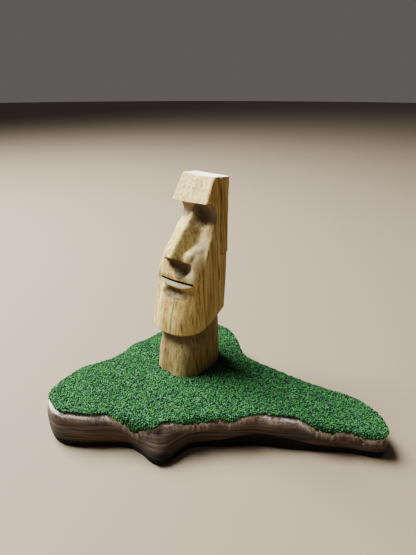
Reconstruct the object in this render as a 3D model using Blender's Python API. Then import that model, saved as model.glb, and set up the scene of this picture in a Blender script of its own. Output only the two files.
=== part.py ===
"""A hand-carved wooden moai on an island-shaped slab of walnut under a layer of model turf.

Three solids: the figure (head and neck from one block), the slab it stands on, and the turf
glued over the slab, with a hole round the figure's foot. Metres, +Z up, the slab's long side
along X. The figure looks towards the front left corner.
"""
import math

import bmesh
import bpy
import numpy as np

MM = 0.001

# Sizes in millimetres
FIGURE_HEIGHT = 94.4
FIGURE_TURN = -40.0
ISLAND_LENGTH = 157.0
ISLAND_DEPTH = 92.0
SLAB_THICKNESS = 17.0
TIP_THICKNESS = 11.5
SEAT_HEIGHT = 18.7
SEAT_MARGIN = 1.4
SHOULDER_DROP = 2.0
SHOULDER_INSET = 2.2
LIP_HEIGHT = 3.7
LIP_REACH = 1.3
LOBE_REACH = 5.2
ARCH_RISE = 3.2
UNDERCUT = 0.6
TURF_THICKNESS = 1.7
TURF_EDGE_THICKNESS = 1.0
TURF_RAGGED = 0.07
TURF_HIGHEST_END = 1.85
DOME_RISE = 1.2
MOUND_REACH = 24.0
WALL_SWELL = 0.5
CLEARANCE = 0.3

# How finely the solids are faceted
ISLAND_COLUMNS = 100
WALL_SHARES = (0.35, 0.7)
PLAN_STEPS = 24
TURF_RINGS = 3
RING_SPACING = 0.85
MARCH_STEPS = 70
HALVINGS = 22

# The figure is drawn on a grid in which it is this many units tall, foot at 0
GRID_UNITS = 94.4
UNIT = FIGURE_HEIGHT / GRID_UNITS

# The slab's shoulder in plan, from the right-hand tip round the back: shares of half the
# length and half the depth, then how far up the wall the turf ends (0 lip, 1 shoulder edge,
# 2 top)
ISLAND_PLAN = [
    (0.965, -0.730, 1.05), (0.950, -0.590, 0.80), (0.893, -0.450, 0.85), (0.820, -0.360, 0.60),
    (0.700, -0.285, 0.80), (0.565, -0.185, 0.65), (0.430, -0.060, 0.85), (0.305, 0.075, 0.70),
    (0.215, 0.220, 0.60), (0.180, 0.390, 0.80), (0.160, 0.590, 0.65), (0.115, 0.795, 0.80),
    (0.010, 0.930, 0.60), (-0.135, 0.975, 0.75), (-0.285, 0.900, 0.60), (-0.392, 0.710, 0.80),
    (-0.465, 0.575, 0.70), (-0.556, 0.455, 0.60), (-0.605, 0.305, 0.80), (-0.665, 0.180, 0.70),
    (-0.755, 0.085, 0.85), (-0.850, -0.010, 0.70), (-0.930, -0.200, 1.20), (-0.985, -0.391, 1.75),
    (-0.969, -0.533, 1.85), (-0.893, -0.685, 1.85), (-0.760, -0.733, 1.50), (-0.620, -0.733, 1.35),
    (-0.492, -0.746, 0.80), (-0.409, -0.804, 1.60), (-0.300, -0.848, 1.80), (-0.205, -0.809, 1.12),
    (-0.110, -0.745, 1.25), (0.069, -0.735, 1.75), (0.247, -0.722, 1.75), (0.425, -0.761, 1.85),
    (0.604, -0.789, 1.65), (0.757, -0.813, 1.00), (0.878, -0.857, 1.22), (0.948, -0.852, 1.02),
]
# Where the figure stands in that plan
FIGURE_SPOT = (-0.155, 0.130)
# The lobe that reaches forward, and the arch in the slab's underside edge, along the length
LOBE_AT = -0.300
LOBE_SPREAD = 0.085
ARCH_AT = 0.290
ARCH_SPREAD = 0.210
THINNING_FROM = 0.350


def blend_min(a, b, radius):
    """The lesser of two distances, with a rounded inner corner where they meet."""
    h = np.clip(0.5 + 0.5 * (b - a) / radius, 0.0, 1.0)
    return b + (a - b) * h - radius * h * (1.0 - h)


def blend_max(a, b, radius):
    """The greater of two distances, with a rounded outer corner where they meet."""
    return -blend_min(-a, -b, radius)


def profile(at, stations):
    """A smooth line through (height, value) stations that never swings past them."""
    xs = np.array([s[0] for s in stations], dtype=float)
    ys = np.array([s[1] for s in stations], dtype=float)
    step = np.diff(xs)
    rise = np.diff(ys) / step
    slope = np.zeros_like(ys)
    same = rise[:-1] * rise[1:] > 0.0
    total = np.where(same, rise[:-1] + rise[1:], 1.0)
    slope[1:-1] = np.where(same, 2.0 * rise[:-1] * rise[1:] / total, 0.0)
    slope[0] = rise[0]
    slope[-1] = rise[-1]
    at = np.clip(at, xs[0], xs[-1])
    i = np.clip(np.searchsorted(xs, at) - 1, 0, len(xs) - 2)
    t = (at - xs[i]) / step[i]
    return ((2 * t**3 - 3 * t**2 + 1) * ys[i] + (t**3 - 2 * t**2 + t) * step[i] * slope[i]
            + (-2 * t**3 + 3 * t**2) * ys[i + 1] + (t**3 - t**2) * step[i] * slope[i + 1])


# The figure's forms, in grid units: x to the figure's left, y to its back, z up from its foot
NECK_CENTRE_X = 0.6
NECK_CENTRE_Y = [(0, -1.4), (11, -0.2), (27, 2.0)]
NECK_HALF_WIDTH = [(0, 12.9), (5, 12.7), (17, 12.2), (27, 11.6)]
NECK_HALF_DEPTH = [(0, 14.4), (11, 13.9), (27, 11.6)]
NECK_CORNER = 9.2
NECK_TOP = 30.0
JAW_FRONT = -14.0
JAW_LOW = 22.4
JAW_SLOPE = 0.14
JAW_CURVE = 0.007
HALF_WIDTH = [(21, 13.9), (25, 13.8), (36, 13.2), (56, 12.15), (69, 11.35), (83.6, 10.35),
              (94.4, 9.5)]
CENTRE_SHIFT = [(21, 0.5), (27, 0.5), (41, 0.4), (56, 0.15), (94, 0.0)]
FACE_TWIST = [(25, 5.5), (41, 3.8), (61, 2.2), (84, 0.0)]
BACK = [(25, 10.5), (32, 11.4), (45, 13.2), (59, 14.6), (74, 15.9), (93.3, 18.2)]
CORNER_RADIUS = [(25, 3.0), (41, 2.4), (50, 1.6), (71, 1.3), (81, 1.5), (94, 1.4)]
FAR_CORNER_SHARE = 0.45
FOREHEAD_TOP = (94.3, 8.3)
FOREHEAD_SLOPE = 0.598
TOP_TILT = 0.1
BROW_HEIGHT = 83.2
BROW_SLOPE = 0.045
BROW_FOLLOW = [(74, 0.0), (80, 1.0), (85.5, 1.0), (91, 0.0)]
CHEEK = [(21, -13.2), (29, -11.9), (36, -10.2), (41, -8.8), (45, -7.4), (52, -5.4), (58, -3.4),
         (63, -1.3), (67, 0.7), (71, 3.4), (74, 5.0), (77, 5.4), (80, 4.7), (83, 4.3)]
CHEEK_EDGE = [(45, 9.0), (55, 6.0), (75, 6.0), (80, 9.0)]
FAR_CHEEK_EDGE = 9.0
CHEEK_BOW = 1.8
CHEEK_FALL = [(40, 1.1), (46, 0.6), (51, 0.04), (55, 0.15), (59, 0.4), (63, 0.55), (68, 0.6),
              (72, 0.4), (76, 0.27), (84, 0.35)]
FAR_CHEEK_FALL = [(39, 0.7), (45, 0.3), (50, -0.2), (57, -0.1), (61, 0.3), (64, 0.9), (68, 1.3),
                  (76, 1.1), (80, 0.5), (84, 0.2)]
SOCKET_CENTRE = (3.0, 77.0)
SOCKET_RADIUS = 5.8
SOCKET_SLANT = 0.07
RIDGE = [(55, -14.6), (60.2, -13.1), (61.8, -12.1), (65.2, -9.4), (68.6, -6.4), (71.8, -3.3),
         (74.4, -0.4), (76.8, 2.1), (79, 4.0), (83, 6.6)]
RIDGE_HALF_WIDTH = [(60, 1.5), (71, 1.0), (83, 0.8)]
NOSE_SIDE_SLOPE = [(57, 1.8), (65, 1.85), (72, 1.8), (77, 2.4), (81, 3.0)]
NOSE_UNDERSIDE = (-6.0, 57.0)
NOSE_UNDERSIDE_SLOPE = 0.62
WING_CENTRE = (5.5, 58.4)
WING_INNER = 3.2
WING_OUTER = 3.2
WING_TALL = 4.9
WING_FACE = -3.9
WING_BULGE = 4.2
MUZZLE = [(41, -9.8), (47, -9.6), (50.5, -9.6), (53, -9.1), (56, -8.3), (59, -7.0), (63, -3.0),
          (67, 5.0), (71, 14.0)]
MUZZLE_BOW = 0.010
MUZZLE_EDGE = [(45, 12.0), (50, 11.8), (56, 10.2), (62, 8.4)]
FAR_MUZZLE_EDGE = 9.2
MUZZLE_FALL = 2.6
MOUTH_SHIFT = 1.1
LIP_LINE = 48.95
LIP_EDGE = 0.45
LIP_FULL = 3.5
LIP_SHIFT = 0.4
LIP_HALF_WIDTH = 10.6
SLIT_HALF_HEIGHT = 0.45
SLIT_HALF_WIDTH = 9.4
SLIT_BACK = -7.2
CHIN_GROOVE = ((1.2, -12.2, 43.3), (9.3, 4.1, 2.6))
LIP_HOLLOW = ((3.2, -10.8, 56.2), (7.6, 5.2, 4.9))
EAR_RAISE = 0.6
EAR_FRONT = [(59, 9.6), (94, 12.1)]
EAR_BOTTOM = 59.0
TOP_ROUNDING = 0.45
TOP_INSET = 0.35


def jaw_line(y):
    """Height of the jaw's lower edge, which climbs towards the back."""
    run = y - JAW_FRONT
    return JAW_LOW + JAW_SLOPE * run + JAW_CURVE * run * run


def neck_shape(x, y, z, grow=0.0):
    """Distance from the neck's rounded oblong section at height z, made larger by grow."""
    across = np.abs(x - NECK_CENTRE_X)
    along = np.abs(y - profile(z, NECK_CENTRE_Y))
    half_x = profile(z, NECK_HALF_WIDTH) - NECK_CORNER
    half_y = profile(z, NECK_HALF_DEPTH) - NECK_CORNER
    outside = np.hypot(np.maximum(across - half_x, 0.0), np.maximum(along - half_y, 0.0))
    inside = np.minimum(np.maximum(across - half_x, along - half_y), 0.0)
    return outside + inside - NECK_CORNER - grow


def hollow(x, y, z, place, size):
    """Distance-like value of an egg-shaped scoop, negative inside it."""
    dx = (x - place[0]) / size[0]
    dy = (y - place[1]) / size[1]
    dz = (z - place[2]) / size[2]
    return (np.sqrt(dx * dx + dy * dy + dz * dz) - 1.0) * min(size)


def figure_shape(x, y, z):
    """Negative inside the carved figure, positive outside, in grid units."""
    turned = y - x * np.tan(np.radians(profile(z, FACE_TWIST)))
    side = x + profile(z, CENTRE_SHIFT)
    across = np.abs(side)
    nothing = np.zeros_like(across)
    far = side < 0.0

    # Cheeks and chin in one bowed surface, the lips and the hollows above and below them
    fall = np.where(far, profile(z, FAR_CHEEK_FALL), profile(z, CHEEK_FALL))
    edge = np.where(far, FAR_CHEEK_EDGE, profile(z, CHEEK_EDGE))
    bow = CHEEK_BOW * ((np.minimum(across, edge) / edge) ** 2 - 1.0)
    cheek = profile(z, CHEEK) + bow + fall * blend_max(nothing, across - edge, 3.0)
    muzzle = profile(z, MUZZLE) + MUZZLE_BOW * across ** 2
    edge = np.where(far, FAR_MUZZLE_EDGE, profile(z, MUZZLE_EDGE))
    muzzle = muzzle + MUZZLE_FALL * blend_max(nothing, across - edge, 1.6)
    mouth = np.abs(side - MOUTH_SHIFT)
    from_middle = (side - LIP_SHIFT) / LIP_HALF_WIDTH
    lip_low = LIP_LINE - LIP_EDGE - LIP_FULL * (1.0 - from_middle ** 2)
    muzzle = blend_max(muzzle - turned, (lip_low - z) * 1.3, 0.9)
    face = blend_min(cheek - turned, muzzle, 0.7)
    face = blend_max(face, -hollow(side, turned, z, *CHIN_GROOVE), 1.0)
    face = blend_max(face, -hollow(side, turned, z, *LIP_HOLLOW), 0.8)

    # Forehead block over the face, and one round scoop across both eye sockets
    forehead = FOREHEAD_TOP[1] - (FOREHEAD_TOP[0] - z) * FOREHEAD_SLOPE
    brow = BROW_HEIGHT + BROW_SLOPE * x
    block = blend_max(forehead - turned, brow - z, 0.25)
    solid = blend_min(block, blend_max(face, z - brow - 1.6, 0.5), 0.25)
    scoop_z = SOCKET_CENTRE[1] + BROW_SLOPE * x
    scoop = np.hypot(turned - SOCKET_CENTRE[0] + SOCKET_SLANT * x, z - scoop_z)
    scoop = blend_max(scoop - SOCKET_RADIUS, z - brow, 0.2)
    solid = blend_max(solid, -scoop, 0.35)

    # Nose: a flat ridge, sloping sides and wings, cut off by its underside
    nose = profile(z, RIDGE)
    beside = blend_max(nothing, across - profile(z, RIDGE_HALF_WIDTH), 0.7)
    nose = nose + profile(z, NOSE_SIDE_SLOPE) * beside
    reach = np.where(across < WING_CENTRE[0], WING_INNER, WING_OUTER)
    spread = ((across - WING_CENTRE[0]) / reach) ** 2 + ((z - WING_CENTRE[1]) / WING_TALL) ** 2
    wing = WING_FACE - WING_BULGE * np.sqrt(np.clip(1.0 - spread, 0.0, 1.0))
    wing = wing + np.maximum(spread - 1.0, 0.0) * 4.0
    nose = blend_min(nose, wing, 1.6) - turned
    underside = NOSE_UNDERSIDE[1] - (turned - NOSE_UNDERSIDE[0]) * NOSE_UNDERSIDE_SLOPE
    nose = blend_max(nose, underside - z, 0.4)
    nose = blend_max(nose, z - brow - 0.7, 0.4)
    solid = blend_min(solid, nose, 0.9)

    # Mouth slit
    slit = blend_max(np.abs(z - LIP_LINE) - SLIT_HALF_HEIGHT, mouth - SLIT_HALF_WIDTH, 0.3)
    slit = blend_max(slit, turned - SLIT_BACK, 0.3)
    solid = blend_max(solid, -slit, 0.1)

    # Sides with the long raised ears, the back, the top and the jaw's lower edge
    half = profile(z, HALF_WIDTH)
    back = profile(z, BACK)
    ear = blend_max(across - half - EAR_RAISE, profile(z, EAR_FRONT) - turned, 0.3)
    ear = blend_max(ear, EAR_BOTTOM - z, 0.15)
    flank = blend_min(across - half, ear, 0.2)
    corner = profile(z, CORNER_RADIUS) * np.where(far, FAR_CORNER_SHARE, 1.0)
    solid = blend_max(solid, flank, corner)
    solid = blend_max(solid, turned - back, 1.2)
    solid = blend_max(solid, z - GRID_UNITS + TOP_TILT * (y - FOREHEAD_TOP[1]), TOP_INSET)
    solid = blend_max(solid, jaw_line(y) - z, 1.2)

    neck = blend_max(neck_shape(x, y, z), z - NECK_TOP, 0.5)
    return blend_min(solid, neck, 0.6)


# The levels at which the figure is sectioned: height on the axis, then how far the section
# follows the jaw's edge and the nose's underside instead of lying level
LEVELS = [
    (0.0, 0.0, 0.0), (5.0, 0.0, 0.0), (10.5, 0.0, 0.0), (16.0, 0.1, 0.0), (20.5, 0.4, 0.0),
    (24.0, 0.8, 0.0), (25.2, 1.0, 0.0), (25.75, 1.0, 0.0), (26.3, 1.0, 0.0), (27.4, 0.95, 0.0),
    (29.5, 0.8, 0.0), (33.0, 0.5, 0.0), (36.5, 0.25, 0.0), (40.0, 0.1, 0.0), (42.3, 0.0, 0.0),
    (44.3, 0.0, 0.0), (46.0, 0.0, 0.0), (47.4, 0.0, 0.0), (48.35, 0.0, 0.0), (48.65, 0.0, 0.0),
    (49.25, 0.0, 0.0), (49.55, 0.0, 0.0), (50.6, 0.0, 0.0), (52.0, 0.1, 0.2), (53.6, 0.0, 0.5),
    (55.2, 0.0, 0.8), (56.5, 0.0, 1.0), (57.2, 0.0, 1.0), (58.2, 0.0, 0.9), (58.85, 0.0, 0.8),
    (59.2, 0.0, 0.8), (60.8, 0.0, 0.6), (62.8, 0.0, 0.4), (65.0, 0.0, 0.2), (67.3, 0.0, 0.0),
    (69.6, 0.0, 0.0), (72.0, 0.0, 0.0), (74.5, 0.0, 0.0), (77.0, 0.0, 0.0), (79.3, 0.0, 0.0),
    (81.4, 0.0, 0.0), (82.8, 0.0, 0.0), (83.45, 0.0, 0.0), (85.5, 0.0, 0.0), (89.0, 0.0, 0.0),
    (92.5, 0.0, 0.0),
]
AXIS_Y = [(0, -1.0), (26, 1.5), (45, 6.0), (60, 9.0), (78, 12.0), (94, 13.3)]
CORNER_Y = [(0, -11.0), (22, -8.0), (25, -7.5), (29, -6.8), (36, -5.7), (45, -2.9), (58, 0.5),
            (67, 4.2), (72, 4.6), (77, 5.6), (80, 4.6), (82.8, 2.8), (83.5, 2.2), (86, 3.34),
            (90, 5.73), (94.4, 8.36)]
NECK_BACK_Y = 12.5
FRONT_COLUMNS = 25
FLANK_COLUMNS = 9
BACK_COLUMNS = 7
FRONT_FAN = 48.0
BACK_FAN = 46.0
REACH = 26.0


def fan_angles():
    """Directions of the section points: close together over the face, wider behind."""
    front = np.linspace(-FRONT_FAN, FRONT_FAN, FRONT_COLUMNS)
    near = np.linspace(FRONT_FAN, 180.0 - BACK_FAN, FLANK_COLUMNS + 2)[1:-1]
    behind = np.linspace(180.0 - BACK_FAN, 180.0 + BACK_FAN, BACK_COLUMNS)
    off = np.linspace(180.0 + BACK_FAN, 360.0 - FRONT_FAN, FLANK_COLUMNS + 2)[1:-1]
    return np.radians(np.concatenate([front, near, behind, off]))


def level_height(level, x, y):
    """Height of one section's surface at a plan place."""
    height, jaw_share, nose_share = level
    follow = jaw_share * (jaw_line(y) - jaw_line(0.0))
    lift = nose_share * NOSE_UNDERSIDE_SLOPE * np.maximum(NOSE_UNDERSIDE[0] - y, 0.0)
    slope = profile(np.array(height), BROW_FOLLOW) * BROW_SLOPE * x
    return height + follow + lift + slope


def section_rays(height, angles):
    """Plan directions that keep each column of points on the same corner at every height."""
    height = np.array(float(height))
    axis = profile(height, AXIS_Y)
    side = profile(height, HALF_WIDTH)
    back = np.maximum(profile(height, BACK), NECK_BACK_Y)
    front_depth = (axis - profile(height, CORNER_Y)) * math.tan(math.radians(FRONT_FAN))
    rear_depth = (back - axis) * math.tan(math.radians(BACK_FAN))
    depth = np.where(np.cos(angles) > 0.0, front_depth, rear_depth)
    step_x = np.sin(angles) * side
    step_y = -np.cos(angles) * depth
    length = np.hypot(step_x, step_y)
    return step_x / length, step_y / length


def section(level, angles):
    """Points where rays from the axis leave the figure, on one section's surface."""
    axis = float(profile(np.array(level[0]), AXIS_Y))
    step_x, step_y = section_rays(level[0], angles)

    def value(radius):
        x = step_x * radius
        y = axis + step_y * radius
        return figure_shape(x, y, level_height(level, x, y))

    inner = np.zeros_like(angles)
    outer = np.full_like(angles, REACH)
    found = np.zeros(len(angles), dtype=bool)
    for radius in np.linspace(REACH, 0.5, MARCH_STEPS):
        inside = value(np.full_like(angles, radius)) < 0.0
        fresh = inside & ~found
        inner[fresh] = radius
        found |= inside
        outer[~found] = radius
    for _ in range(HALVINGS):
        middle = 0.5 * (inner + outer)
        inside = value(middle) < 0.0
        inner = np.where(inside, middle, inner)
        outer = np.where(inside, outer, middle)
    x = step_x * inner
    y = axis + step_y * inner
    return np.stack([x, y, level_height(level, x, y)], axis=1)


def top_edge(angles, below, inset):
    """The section just under the tilted top, lifted to it and drawn in by inset."""
    axis = AXIS_Y[-1][1]
    step = np.stack(section_rays(GRID_UNITS, angles), axis=1)
    inner = np.zeros(len(angles))
    outer = np.full(len(angles), REACH)
    for _ in range(HALVINGS):
        middle = 0.5 * (inner + outer)
        x = step[:, 0] * middle
        y = axis + step[:, 1] * middle
        top = GRID_UNITS - TOP_TILT * (y - FOREHEAD_TOP[1])
        inside = figure_shape(x, y, top - TOP_ROUNDING) < 0.0
        inner = np.where(inside, middle, inner)
        outer = np.where(inside, outer, middle)
    inner = inner - inset
    x = step[:, 0] * inner
    y = axis + step[:, 1] * inner
    return np.stack([x, y, GRID_UNITS - TOP_TILT * (y - FOREHEAD_TOP[1]) - below], axis=1)


def bridge(bm, lower, upper):
    """Quads between two closed loops of vertices with equal counts."""
    count = len(lower)
    for i in range(count):
        j = (i + 1) % count
        bm.faces.new((lower[i], lower[j], upper[j], upper[i]))


def loft(name, loops, close_ends, material, collection):
    """A mesh object from closed loops in order; the ends are capped or joined to each other."""
    bm = bmesh.new()
    rings = [[bm.verts.new(point * MM) for point in loop] for loop in loops]
    for lower, upper in zip(rings[:-1], rings[1:]):
        bridge(bm, lower, upper)
    if close_ends:
        bm.faces.new(list(reversed(rings[0])))
        bm.faces.new(rings[-1])
    else:
        bridge(bm, rings[-1], rings[0])
    bmesh.ops.recalc_face_normals(bm, faces=bm.faces)
    bmesh.ops.triangulate(bm, faces=bm.faces, ngon_method='EAR_CLIP')
    mesh = bpy.data.meshes.new(name)
    bm.to_mesh(mesh)
    bm.free()
    mesh.materials.append(material)
    mesh.shade_smooth()
    mesh.set_sharp_from_angle(angle=math.radians(30.0))
    obj = bpy.data.objects.new(name, mesh)
    collection.objects.link(obj)
    return obj


def make_material(name, colour, roughness):
    material = bpy.data.materials.new(name)
    material.use_nodes = True
    shader = material.node_tree.nodes['Principled BSDF']
    shader.inputs['Base Color'].default_value = (*colour, 1.0)
    shader.inputs['Roughness'].default_value = roughness
    shader.inputs['Metallic'].default_value = 0.0
    return material


def plan_loop():
    """The slab's shoulder as evenly spaced points, with the turf's end at each."""
    rows = np.array(ISLAND_PLAN)
    count = len(rows)
    fine = []
    for i in range(count):
        a, b, c, d = (rows[(i + k) % count] for k in (-1, 0, 1, 2))
        for t in np.linspace(0.0, 1.0, PLAN_STEPS, endpoint=False):
            fine.append(0.5 * (2 * b + (c - a) * t + (2 * a - 5 * b + 4 * c - d) * t**2
                               + (3 * b - a - 3 * c + d) * t**3))
    fine = np.array(fine)
    fine = fine * np.array([ISLAND_LENGTH / 2.0, ISLAND_DEPTH / 2.0, 1.0])
    run = np.concatenate([[0.0], np.cumsum(np.hypot(*(np.roll(fine, -1, 0) - fine)[:, :2].T))])
    closed = np.vstack([fine, fine[:1]])
    marks = np.linspace(0.0, run[-1], ISLAND_COLUMNS, endpoint=False)
    return np.stack([np.interp(marks, run, closed[:, k]) for k in range(3)], axis=1)


def outward(loop, rounds):
    """Unit normals of a closed plan loop, evened out over their neighbours."""
    along = np.roll(loop, -1, 0) - np.roll(loop, 1, 0)
    normal = np.stack([along[:, 1], -along[:, 0]], axis=1)
    for _ in range(rounds):
        normal = (np.roll(normal, 1, 0) + 2.0 * normal + np.roll(normal, -1, 0)) / 4.0
    return normal / np.hypot(normal[:, 0], normal[:, 1])[:, None]


def with_height(plan, height):
    return np.column_stack([plan, np.broadcast_to(height, (len(plan),))])


def figure_spot():
    return np.array([FIGURE_SPOT[0] * ISLAND_LENGTH / 2.0, FIGURE_SPOT[1] * ISLAND_DEPTH / 2.0])


def foot_loop(directions, grow):
    """The figure's foot in plan, grown by a margin, where rays from its spot leave it."""
    turn = math.radians(FIGURE_TURN)
    c = math.cos(turn)
    s = math.sin(turn)
    local = np.stack([directions[:, 0] * c + directions[:, 1] * s,
                      -directions[:, 0] * s + directions[:, 1] * c], axis=1)
    inner = np.zeros(len(local))
    outer = np.full(len(local), REACH)
    foot = np.zeros(len(local))
    for _ in range(HALVINGS):
        middle = 0.5 * (inner + outer)
        inside = neck_shape(local[:, 0] * middle, local[:, 1] * middle, foot, grow / UNIT) < 0.0
        inner = np.where(inside, middle, inner)
        outer = np.where(inside, outer, middle)
    return figure_spot() + directions * (inner * UNIT)[:, None]


def slab_crown(share):
    """Height of the slab's top at a share of half its length; the right-hand arm thins out."""
    thin = np.clip((share - THINNING_FROM) / (1.0 - THINNING_FROM), 0.0, 1.0)
    return SLAB_THICKNESS - (SLAB_THICKNESS - TIP_THICKNESS) * thin


def island_rings():
    """Loops of the slab from its footprint up and over to the seat, and the turf's end."""
    plan = plan_loop()
    shoulder = plan[:, :2]
    share = shoulder[:, 0] / (ISLAND_LENGTH / 2.0)
    front = np.clip(-shoulder[:, 1] / (ISLAND_DEPTH / 4.0), 0.0, 1.0)
    lobe = np.exp(-((share - LOBE_AT) / LOBE_SPREAD) ** 2) * front
    arch = np.exp(-((share - ARCH_AT) / ARCH_SPREAD) ** 2) * front
    crown = slab_crown(share)

    normal = outward(shoulder, 3)
    lip = shoulder + normal * (LIP_REACH + LOBE_REACH * lobe)[:, None]
    lip_height = LIP_HEIGHT + ARCH_RISE * arch
    foot = lip - outward(lip, 6) * UNDERCUT
    edge_height = crown - SHOULDER_DROP
    top = shoulder - outward(shoulder, 5) * SHOULDER_INSET

    away = top - figure_spot()
    distance = np.hypot(away[:, 0], away[:, 1])
    seat = foot_loop(away / distance[:, None], SEAT_MARGIN)
    rings = [with_height(foot, 0.0), with_height(lip, lip_height)]
    for share_up in WALL_SHARES:
        swell = WALL_SWELL * math.sin(math.pi * share_up)
        wall = lip + (shoulder - lip) * share_up ** 1.2 + normal * swell
        rings.append(with_height(wall, lip_height + (edge_height - lip_height) * share_up))
    rings.append(with_height(shoulder, edge_height))
    rings.append(with_height(top, crown))
    for k in range(1, TURF_RINGS + 1):
        t = (k / TURF_RINGS) ** RING_SPACING
        place = top + (seat - top) * t
        left = np.hypot(*(seat - place).T)
        level = slab_crown(place[:, 0] / (ISLAND_LENGTH / 2.0))
        mound = t * np.exp(-(left / MOUND_REACH) ** 2)
        dome = DOME_RISE * math.sin(math.pi * t)
        height = level + (SEAT_HEIGHT - level) * mound + dome * (1.0 - mound)
        rings.append(with_height(place, height))
    return rings, plan[:, 2], away / distance[:, None]


def ring_normals(rings):
    """Normals of the surface through the rings, at their points."""
    grid = np.array(rings)
    round_ = np.roll(grid, -1, 1) - np.roll(grid, 1, 1)
    up = np.empty_like(grid)
    up[1:-1] = grid[2:] - grid[:-2]
    up[0] = grid[1] - grid[0]
    up[-1] = grid[-1] - grid[-2]
    normal = np.cross(round_, up)
    return normal / np.linalg.norm(normal, axis=2)[:, :, None]


def turf_loops(rings, ends, directions):
    """The turf's inner and outer skins, from its ragged edge over the slab to the figure."""
    grid = np.array(rings)
    normals = ring_normals(rings)
    count = grid.shape[1]
    turns = np.arange(count) / count * 2.0 * math.pi
    waves = np.sin(turns * 31.0) + np.sin(turns * 47.0 + 1.3) + np.sin(turns * 19.0 + 0.4)
    ragged = TURF_RAGGED * waves
    low, high = WALL_SHARES
    ends = np.clip(ends + ragged, low, TURF_HIGHEST_END)
    # Rings 1 to 5 of the slab are its lip, wall, wall, shoulder edge and top
    marks = np.array([0.0, low, high, 1.0, 2.0])

    def on_slab(position):
        place = np.empty((count, 3))
        facing = np.empty((count, 3))
        for i in range(count):
            for k in range(3):
                place[i, k] = np.interp(position[i], marks, grid[1:6, i, k])
                facing[i, k] = np.interp(position[i], marks, normals[1:6, i, k])
        return place, facing / np.linalg.norm(facing, axis=1)[:, None]

    # Two rows between the ragged end and the top, one of them on the shoulder edge where it can be
    over_edge = ends > 1.0
    second = np.where(over_edge, ends + 0.25 * (2.0 - ends), 0.5 * (ends + 1.0))
    third = np.where(over_edge, ends + 0.5 * (2.0 - ends), 1.0)
    rows = [on_slab(ends), on_slab(second), on_slab(third)]
    for ring in range(5, len(rings)):
        rows.append((grid[ring], normals[ring]))
    hole = with_height(foot_loop(directions, CLEARANCE), SEAT_HEIGHT)
    level = np.zeros_like(hole)
    level[:, 2] = 1.0
    rows[-1] = (rows[-1][0], level)
    rows.append((hole, level))
    depths = [TURF_EDGE_THICKNESS] + [TURF_THICKNESS] * (len(rows) - 1)
    under = [place + facing * CLEARANCE for place, facing in rows]
    over = [place + facing * (CLEARANCE + depth) for (place, facing), depth in zip(rows, depths)]
    return under + over[::-1]


def main():
    for obj in list(bpy.data.objects):
        bpy.data.objects.remove(obj, do_unlink=True)
    collection = bpy.data.collections.new('Moai on an island base')
    bpy.context.scene.collection.children.link(collection)

    pale_wood = make_material('carved pale wood', (0.58, 0.37, 0.18), 0.6)
    walnut = make_material('walnut', (0.115, 0.066, 0.043), 0.55)
    green = make_material('model turf', (0.035, 0.15, 0.03), 0.95)

    rings, ends, directions = island_rings()
    turf = turf_loops(rings, ends, directions)
    everything = np.vstack([np.vstack(rings), np.vstack(turf)])
    middle = 0.5 * (everything.min(0) + everything.max(0))[:2]
    home = (-middle[0] * MM, -middle[1] * MM, 0.0)

    slab = loft('island_slab', rings, True, walnut, collection)
    slab.location = home
    cover = loft('turf_cover', turf, False, green, collection)
    cover.location = home

    angles = fan_angles()
    loops = [section(level, angles) for level in LEVELS]
    loops.append(top_edge(angles, TOP_ROUNDING, 0.0))
    loops.append(top_edge(angles, 0.0, TOP_INSET))
    figure = loft('moai_figure', [loop * UNIT for loop in loops], True, pale_wood, collection)
    spot = (figure_spot() - middle) * MM
    figure.location = (spot[0], spot[1], (SEAT_HEIGHT + CLEARANCE) * MM)
    figure.rotation_euler = (0.0, 0.0, math.radians(FIGURE_TURN))


main()
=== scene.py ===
"""Looks of the carved wooden moai on its turf-covered walnut island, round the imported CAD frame.

The figure, the slab and the turf are lofted again from the part's own sizes, many times finer,
with tool marks and grain; the turf's crumbs are real grains over a dark skin.
"""

import itertools
import math

import bmesh
import bpy
import numpy as np
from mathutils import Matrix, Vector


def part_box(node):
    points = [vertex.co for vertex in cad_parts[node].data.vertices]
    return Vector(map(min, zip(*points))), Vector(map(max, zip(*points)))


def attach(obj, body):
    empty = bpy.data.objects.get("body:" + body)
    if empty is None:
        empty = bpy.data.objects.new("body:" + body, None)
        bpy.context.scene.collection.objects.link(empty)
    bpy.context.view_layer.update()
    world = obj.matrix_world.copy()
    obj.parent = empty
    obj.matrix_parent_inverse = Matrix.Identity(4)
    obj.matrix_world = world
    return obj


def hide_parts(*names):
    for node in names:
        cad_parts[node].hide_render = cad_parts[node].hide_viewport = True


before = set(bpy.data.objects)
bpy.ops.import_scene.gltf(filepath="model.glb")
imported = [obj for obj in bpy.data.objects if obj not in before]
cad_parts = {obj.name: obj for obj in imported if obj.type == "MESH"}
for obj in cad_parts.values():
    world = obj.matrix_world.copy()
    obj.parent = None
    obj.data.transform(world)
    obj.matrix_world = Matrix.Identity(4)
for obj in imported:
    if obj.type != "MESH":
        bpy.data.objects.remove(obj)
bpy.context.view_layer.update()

MM = 0.001

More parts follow.
